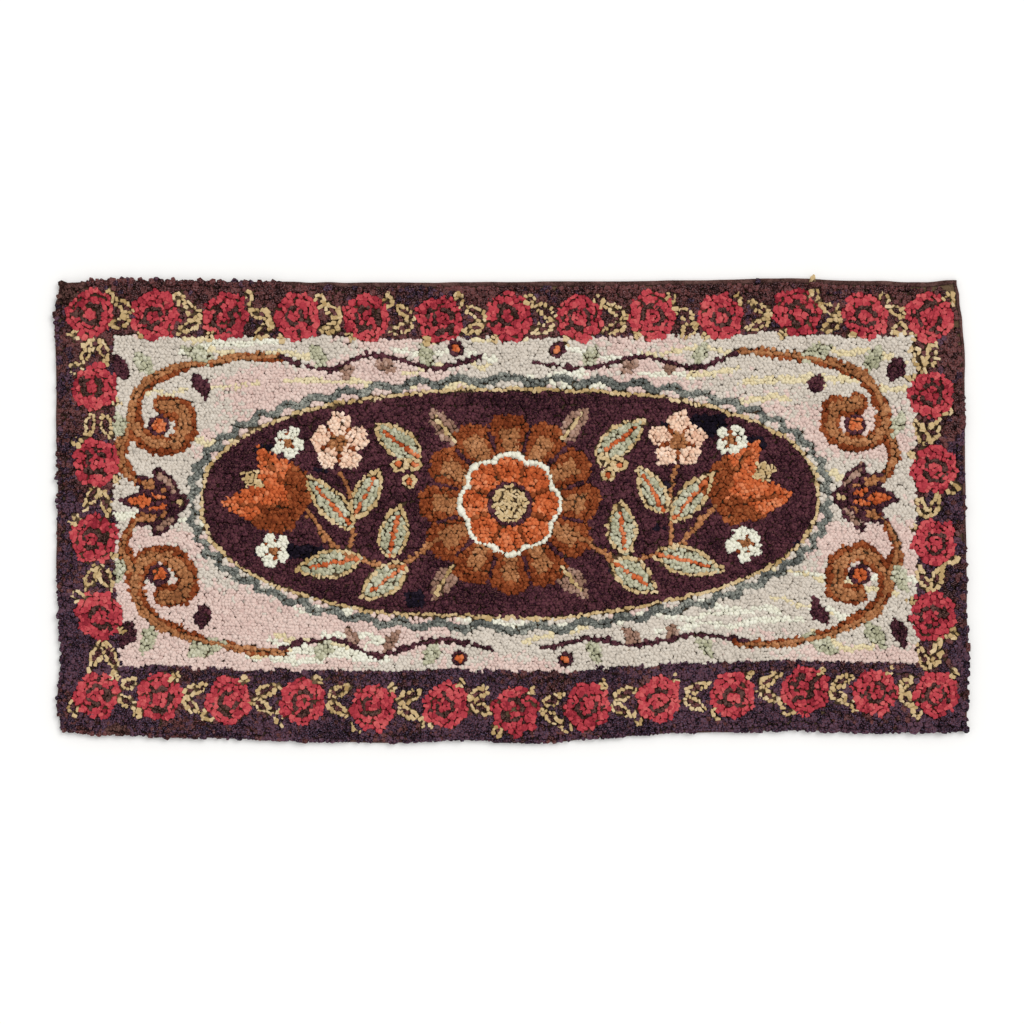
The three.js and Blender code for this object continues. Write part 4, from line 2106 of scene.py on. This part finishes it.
    def held_in(self, offsets: Array, members: Array) -> Array:
        """Places loops' points, pressing back what hangs far over the rim.

        Args:
            offsets: The points measured from each loop's place.
            members: Which loops.

        Returns:
            The points on the rug.
        """
        places, overhang = self.loops.places[members], self.loops.overhang[members][:, None]
        low = (-OUTLINE.half - places - overhang)[:, None, None, :]
        high = (OUTLINE.half - places + overhang)[:, None, None, :]
        held = np.clip(offsets, low, high)
        held = held + self.RIM_GIVE * (offsets - held)
        return OUTLINE.drawn(places)[:, None, None, :] + held

    def foot_heights(self, places: Array) -> Array:
        """How low loops' feet come: through the cloth to its back, or into the hem near the rim."""
        rim = (OUTLINE.half - np.abs(places)).min(axis=1)
        return np.where(rim > self.hem_width, self.foot_height, self.hem_foot_height)

    def bake_cell(self) -> Array:
        """Lays one loop out in its own square of the bake map.

        Returns:
            Places by face and corner, from 0 to 1.
        """
        rings, corners = len(self.RING_ALONG), len(self.CORNER_TURNS)
        ring, corner = np.meshgrid(np.arange(rings - 1), np.arange(corners), indexing="ij")
        spots = [(corner, ring), (corner + 1, ring), (corner + 1, ring + 1), (corner, ring + 1)]
        sides = np.stack([np.stack([u / corners, v / rings], -1) for u, v in spots], axis=2)
        square = np.array([(0.0, 0.0), (1.0, 0.0), (1.0, 1.0), (0.0, 1.0)])
        top = (rings - 1) / rings + self.CAP_GAP / rings
        size = [self.CAP_WIDTH, self.CAP_HEIGHT / rings]
        caps = [square * size + [start, top] for start in self.CAP_STARTS]
        return np.concatenate([sides.reshape(-1, 4, 2), np.array(caps)])

    def piece(self, lot: Lot, points: Array) -> Piece:
        """Joins one lot's loops into a piece.

        Args:
            lot: The lot.
            points: Points by loop, ring and corner.

        Returns:
            The piece, mapped for baking and along its strips.
        """
        count, rings, corners = points.shape[:3]
        cut, cell = cut_of(lot), self.bake_cell()
        quads = tube_quads(count, rings, corners)
        piece = quad_mesh(f"loops_{lot.value}", points.reshape(-1, 3), quads, cut.soft)
        cells = math.ceil(math.sqrt(count))
        square = np.column_stack([np.arange(count) % cells, np.arange(count) // cells])
        within = cell[None] * (1 - 2 * self.BAKE_MARGIN) + self.BAKE_MARGIN
        add_map(piece, BAKE_MAP, ((within + square[:, None, None, :]) / cells).reshape(-1, 2))
        strip = [2 * (cut.width + cut.thickness), self.STRIP_LENGTH]
        starts = self.rng.uniform(*self.STRIP_STARTS, (count, 1, 1, 2))
        add_map(piece, STRIP_MAP, (cell[None] * strip + starts).reshape(-1, 2))
        return piece

    def crown_at(self, heights: Array) -> Array:
        """How far points stand out of the roots' shade, from 0 to 1: all the way on the back."""
        lit = (heights - self.cloth_height) / (self.LIT_SHARE * (self.crown_height - self.cloth_height))
        return np.where(heights < self.cloth_height / 2, 1.0, np.clip(lit, 0, 1))

    def build(self, shop: EffectShop) -> list[Piece]:
        """Hooks, shapes and dresses the loops.

        Args:
            shop: Where the shared effects come from.

        Returns:
            One piece for each lot in use.
        """
        self.wander = ValueNoise(self.rng, self.WANDER_PATCH)
        self.hook()
        places = self.loops.places
        lean, rise = Clumps(self.rng).gather(places)
        cuts = [cut_of(LOTS[number]) for number in self.loops.lots]
        unrest = np.array([cut.unrest for cut in cuts])
        lean = lean * unrest[:, None] + self.leans(places)
        lean[-len(self.strays):] = [(stray.lean_x, stray.lean_y) for stray in self.strays]
        height = self.crown_height + unrest * (rise + self.rng.normal(0, self.HEIGHT_STRAY, len(places)))
        height += [cut.lift for cut in cuts]
        strips = ValueNoise(self.rng, self.STRIP_PATCH).at(places)
        scatter = self.rng.normal(0, 1, len(strips))
        pieces = []
        for lot in LOTS:
            members = np.flatnonzero(self.loops.lots == LOT_NUMBER[lot])
            finish = RAG_FINISHES[lot]
            patchy = self.PATCH_WEIGHT * finish.scatter * (strips[members] - 0.5)
            tone = np.clip(0.5 + (patchy + finish.scatter * scatter[members]), 0, 1)
            points = self.loop_points(members, cut_of(lot), lean[members], height[members])
            piece = self.piece(lot, points)
            tones = np.repeat(tone, points[0, ..., 0].size)
            dress(piece, finish.material(shop), tones, self.crown_at(points[..., 2].ravel()))
            pieces.append(piece)
        return pieces


# Foundation cloth and bound edge


def inset_ring(stations: Array, inset: float, height: Array | float) -> Array:
    """Sets stations, in shares from -1 to 1, at a height on the rug inset from its edge."""
    flat = OUTLINE.drawn(stations * (OUTLINE.half - inset))
    return np.column_stack([flat, np.broadcast_to(height, len(flat))])


def rim_stations(columns: int, rows: int) -> Array:
    """Shares along and across the rug for stations round its rim.

    Args:
        columns: Steps along each long side.
        rows: Steps along each short side.

    Returns:
        Stations counter-clockwise from the bottom left, each from -1 to 1.
    """
    along, across = np.linspace(-1, 1, columns + 1), np.linspace(-1, 1, rows + 1)
    long_side, short_side = np.ones(columns), np.ones(rows)
    return np.vstack([
        np.column_stack([along[:-1], -long_side]),
        np.column_stack([short_side, across[:-1]]),
        np.column_stack([along[:0:-1], long_side]),
        np.column_stack([-short_side, across[:0:-1]]),
    ])


@dataclass
class FoundationCloth:
    """The burlap that the strips are hooked through, with its hem inside the tape."""

    rng: Draws
    columns: int = 96
    rows: int = 48
    hem_inset: float = 1.5
    rebate_inset: float = 22.3
    back: float = 0.5
    hem_bottom: float = 1.5
    face: float = 3.9
    ripple: float = 0.25
    tone_patch: Pair = (60.0, 60.0)
    cut_size: Pair = (1.30, 0.662)

    def build(self, shop: EffectShop) -> Piece:
        """Makes the cloth: rings round the hem, closed by a grid on the face and on the back.

        Args:
            shop: Where the shared effects come from.

        Returns:
            The cloth.
        """
        rim = rim_stations(self.columns, self.rows)
        rings = [
            inset_ring(rim, self.rebate_inset, self.back),
            inset_ring(rim, self.rebate_inset, self.hem_bottom),
            inset_ring(rim, self.hem_inset, self.hem_bottom),
            inset_ring(rim, self.hem_inset, self.face),
        ]
        count = len(rim)
        points = np.vstack(rings)
        quads = [ring_quads(len(rings), count)]
        for ring, inset, height, turn in (
            (3, self.hem_inset, self.face, 1), (0, self.rebate_inset, self.back, -1),
        ):
            grid, sheet = self.lid(points, ring * count, inset, height, ripple=ring == 3)
            quads.append(sheet[:, ::turn])
            points = np.vstack([points, grid])
        faces = np.vstack(quads)
        piece = quad_mesh("foundation_cloth", points, faces)
        add_map(piece, STRIP_MAP, points[faces.ravel(), :2])
        tone = ValueNoise(self.rng, self.tone_patch).at(points[:, :2])
        dress(piece, FOUNDATION_FINISH.material(shop), tone)
        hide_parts("hooked_pile")
        return piece

    def lid(self, points: Array, start: int, inset: float, height: float,
            ripple: bool) -> tuple[Array, Array]:
        """Closes a ring with a grid that shares the ring's points.

        Args:
            points: The points so far.
            start: The number of the ring's first point.
            inset: The ring's inset.
            height: The grid's height.
            ripple: Whether the grid's inside is uneven.

        Returns:
            New points for the grid's inside, and the grid's faces, upwards.
        """
        columns, rows = self.columns, self.rows
        numbers = np.zeros((rows + 1, columns + 1), dtype=int)
        rim = np.arange(start, start + 2 * (columns + rows))
        numbers[0, :columns] = rim[:columns]
        numbers[:rows, columns] = rim[columns:columns + rows]
        numbers[rows, columns:0:-1] = rim[columns + rows:2 * columns + rows]
        numbers[rows:0:-1, 0] = rim[2 * columns + rows:]
        shares = (np.linspace(-1, 1, steps + 1)[1:-1] for steps in (rows, columns))
        across, along = np.meshgrid(*shares, indexing="ij")
        stations = np.column_stack([along.ravel(), across.ravel()])
        uneven = self.rng.uniform(-1, 1, len(stations)) * self.ripple if ripple else 0.0
        inside = inset_ring(stations, inset, height + uneven)
        numbers[1:-1, 1:-1] = len(points) + np.arange(len(stations)).reshape(rows - 1, columns - 1)
        quads = np.stack([numbers[:-1, :-1], numbers[:-1, 1:], numbers[1:, 1:], numbers[1:, :-1]], -1)
        return inside, quads.reshape(-1, 4)


class Side(Enum):
    """The rug's four sides, in order round its rim."""

    BOTTOM = "bottom"
    RIGHT = "right"
    TOP = "top"
    LEFT = "left"


@dataclass
class BindingTape:
    """The tape round the rim: a lip on the face, a fold, and a flap on the back."""

    rng: Draws
    columns: int = 190
    rows: int = 96
    lip: float = 5.0
    top_lip: float = 7.0
    flap: float = 22.0
    thickness: float = 1.2
    lip_top: float = 5.4
    mitre_gap: float = 0.3
    pucker: float = 0.5
    waver: float = 1.6
    pucker_patch: Pair = (11.0, 11.0)
    waver_patch: Pair = (26.0, 26.0)
    tone_patch: Pair = (8.0, 6.0)
    stitch_pitch: float = 8.5
    stitch_length: float = 3.6
    stitch_radius: float = 0.32
    stitch_slant: float = 0.5
    slant_stray: float = 0.12

    FOLD_STEPS = 7
    FOLD_DEPTH, INNER_DEPTH = 0.55, 0.35
    LIP_FLAT, FLAP_MIDDLE = 0.8, 0.5
    LIP_DROP = 0.2
    STITCH_ALONG = np.array([-0.5, -0.3, 0.3, 0.5])
    STITCH_LIFT = np.array([-0.5, 0.35, 0.35, -0.5])
    BACK_LIFT = -0.4
    STITCH_TURNS = np.radians([0.0, 90.0, 180.0, 270.0])

    def lip_width(self, side: Side) -> float:
        """How wide the lip is on a side: wider at the top."""
        return self.top_lip if side is Side.TOP else self.lip

    def section(self, side: Side) -> Array:
        """Draws the tape's section.

        Args:
            side: The side it binds.

        Returns:
            Insets and heights, out round the fold and back inside it.
        """
        fold = self.lip_top / 2
        lip = self.lip_width(side)
        turns = np.linspace(-math.pi / 2, math.pi / 2, self.FOLD_STEPS)
        outer = np.column_stack([fold * self.FOLD_DEPTH * (1 - np.cos(turns)), fold + fold * np.sin(turns)])
        inner_fold = fold - self.thickness
        inner = np.column_stack([
            self.thickness + inner_fold * self.INNER_DEPTH * (1 - np.cos(turns[::-1])),
            fold + inner_fold * np.sin(turns[::-1]),
        ])
        top, flap, middle = self.lip_top, self.flap, self.flap * self.FLAP_MIDDLE
        lip_end = [(lip * self.LIP_FLAT, top), (lip, top - self.LIP_DROP), (lip, top - self.thickness)]
        flap_end = [(middle, self.thickness), (flap, self.thickness), (flap, 0.0), (middle, 0.0)]
        return np.vstack([outer, lip_end, inner, flap_end])

    def stations(self, side: Side) -> Array:
        """Cuts a side out of the rim.

        Args:
            side: The side.

        Returns:
            Its stations from corner to corner, in shares from -1 to 1.
        """
        rim = rim_stations(self.columns, self.rows)
        rim = np.vstack([rim, rim[:1]])
        corners = np.cumsum([0, self.columns, self.rows, self.columns, self.rows])
        first = list(Side).index(side)
        return rim[corners[first]:corners[first + 1] + 1]

    def length_piece(self, side: Side, material: bpy.types.Material) -> Piece:
        """Makes one length of tape.

        Args:
            side: Which side it binds.
            material: The tape's material.

        Returns:
            The length, with mitred ends.
        """
        section, stations = self.section(side), self.stations(side)
        ends = np.array([1.0, 0.0] if side in (Side.TOP, Side.BOTTOM) else [0.0, 1.0])
        wave = ValueNoise(self.rng, self.pucker_patch)
        waver = ValueNoise(self.rng, self.waver_patch)
        rings = []
        for inset, height in section:
            flat = stations * (OUTLINE.half - inset - ends * self.mitre_gap)
            on_face = np.clip((height - self.lip_top / 2) / (self.lip_top / 2), 0, 1)
            sway = (wave.at(flat) - 0.5) * 2 * self.pucker
            points = OUTLINE.drawn(flat * (1 - self.waver * waver.at(flat)[:, None] / OUTLINE.half))
            rings.append(np.column_stack([points, height + sway * on_face]))
        points = np.stack(rings, axis=1).reshape(-1, 3)
        corners = len(section)
        quads = ring_quads(len(stations), corners)[:, ::-1]
        faces = np.vstack([quads, self.caps(corners, (len(stations) - 1) * corners)])
        piece = quad_mesh(f"tape_{side.value}", points, faces)
        along = (stations * OUTLINE.half) @ ends
        run = np.concatenate([[0], np.cumsum(np.hypot(*np.diff(section, axis=0).T))])
        strip = np.stack(np.broadcast_arrays(along[:, None], run[None]), -1).reshape(-1, 2)
        add_map(piece, STRIP_MAP, strip[faces.ravel()])
        dress(piece, material, ValueNoise(self.rng, self.tone_patch).at(points[:, :2]))
        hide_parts(f"binding_{side.value}")
        return piece

    def caps(self, corners: int, last: int) -> Array:
        """The faces that close a length across its thickness, at its first and last stations."""
        start = np.array([(s, s + 1, corners - 2 - s, corners - 1 - s) for s in range(corners // 2 - 1)])
        return np.vstack([start, start[:, ::-1] + last])

    def stitches(self, shop: EffectShop) -> Piece:
        """Sews slanted stitches over the lip's edge on the face and the flap's edge on the back.

        Args:
            shop: Where the shared effects come from.

        Returns:
            All the stitches in one piece.
        """
        thread = []
        for side in Side:
            for inset, height in ((self.lip_width(side), self.lip_top), (self.flap, 0.0)):
                path = inset_ring(self.stations(side), inset, height)
                spots, turns = spaced(path[:, :2], self.stitch_pitch)
                slants = self.rng.normal(self.stitch_slant, self.slant_stray, len(turns))
                inward = turns + math.pi / 2 + slants
                thread.append(self.stitch_points(spots, inward, height))
        points = np.vstack(thread)
        count, rings, corners = points.shape[:3]
        quads = tube_quads(count, rings, corners)
        points = points.reshape(-1, 3)
        piece = quad_mesh("tape_stitches", points, quads)
        add_map(piece, STRIP_MAP, points[quads.ravel(), :2])
        tone = np.repeat(self.rng.random(count), rings * corners)
        dress(piece, STITCH_FINISH.material(shop), tone)
        return piece

    def stitch_points(self, spots: Array, headings: Array, height: float) -> Array:
        """Bends short threads that dip into the cloth at both ends.

        Args:
            spots: The stitches' middles.
            headings: Their headings, in radians.
            height: Height of the cloth's surface.

        Returns:
            Points by stitch, ring and corner.
        """
        along = self.STITCH_ALONG * self.stitch_length
        lift = self.STITCH_LIFT * self.stitch_radius * (1 if height else self.BACK_LIFT)
        across = np.cos(self.STITCH_TURNS) * self.stitch_radius
        up = np.sin(self.STITCH_TURNS) * self.stitch_radius
        cosine, sine = np.cos(headings)[:, None, None], np.sin(headings)[:, None, None]
        x = spots[:, :1, None] + along[None, :, None] * cosine - across[None, None, :] * sine
        y = spots[:, 1:, None] + along[None, :, None] * sine + across[None, None, :] * cosine
        floor = self.stitch_radius if not height else 0.0
        z = np.broadcast_to(height + floor + lift[None, :, None] + up[None, None, :], x.shape)
        return np.stack([x, y, z], axis=-1)

    def build(self, shop: EffectShop) -> list[Piece]:
        """Makes the four lengths and their stitches."""
        material = TAPE_FINISH.material(shop)
        return [*(self.length_piece(side, material) for side in Side), self.stitches(shop)]


# Studio


@dataclass
class Studio:
    """A pale floor, soft light and a camera straight above the rug."""

    lens_mm: float = 85.0
    sensor_mm: float = 36.0
    frame_width_mm: float = 1452.8
    look_at: tuple[float, float, float] = (0.6, -2.1, 10.5)
    floor_reach: float = 6.0
    floor_drop: float = 0.2
    floor_shade: str = "f6f5f3"
    floor_roughness: float = 0.9
    sky_strength: float = 0.78
    key_strength: float = 1.4
    key_softness: float = 34.0
    key_tilt: float = 38.0
    key_turn: float = 130.0

    def floor(self) -> None:
        """Lays the floor."""
        reach = self.floor_reach / MM
        corners = np.array([(-reach, -reach, 0), (reach, -reach, 0), (reach, reach, 0), (-reach, reach, 0)])
        floor = quad_mesh("floor", corners - [0, 0, self.floor_drop], np.array([[0, 1, 2, 3]]))
        material = bpy.data.materials.new("pale_floor")
        material.use_nodes = True
        shader = material.node_tree.nodes["Principled BSDF"]
        shader.inputs["Base Color"].default_value = linear(self.floor_shade)
        shader.inputs["Roughness"].default_value = self.floor_roughness
        floor.data.materials.append(material)

    def lights(self) -> None:
        """Lights the rug evenly from the sky, with a soft key from the top left."""
        world = bpy.data.worlds.new("studio_sky")
        world.use_nodes = True
        background = world.node_tree.nodes["Background"]
        background.inputs["Color"].default_value = (1.0, 1.0, 1.0, 1.0)
        background.inputs["Strength"].default_value = self.sky_strength
        bpy.context.scene.world = world
        key = bpy.data.lights.new("key", "SUN")
        key.energy = self.key_strength
        key.angle = math.radians(self.key_softness)
        lamp = bpy.data.objects.new("key", key)
        lamp.rotation_euler = (math.radians(self.key_tilt), 0.0, math.radians(self.key_turn))
        bpy.context.scene.collection.objects.link(lamp)

    def camera(self) -> None:
        """Hangs the camera so that the picture's width takes in frame_width_mm of the pile."""
        data = bpy.data.cameras.new("camera")
        data.lens = self.lens_mm
        data.sensor_width = self.sensor_mm
        data.sensor_fit = "HORIZONTAL"
        distance = self.frame_width_mm * self.lens_mm / self.sensor_mm
        camera = bpy.data.objects.new("camera", data)
        x, y, z = self.look_at
        camera.location = (x * MM, y * MM, (z + distance) * MM)
        bpy.context.scene.collection.objects.link(camera)
        bpy.context.scene.camera = camera

    def build(self) -> None:
        """Sets the floor, the lights, the camera and plain colour."""
        self.floor()
        self.lights()
        self.camera()
        bpy.context.scene.view_settings.view_transform = "Standard"
        LOG.info("studio set")


def main() -> None:
    """Builds the studio, the cloth, the tape and the loops."""
    logging.basicConfig(level=logging.INFO, format="%(name)s: %(message)s")
    rng = np.random.default_rng(SEED)
    shop = EffectShop()
    Studio().build()
    cloth = FoundationCloth(rng)
    sheet = cloth.build(shop)
    tape = BindingTape(rng).build(shop)
    loops = HookedPile(RugDesign(rng), rng).build(shop)


if __name__ == "__main__":
    main()
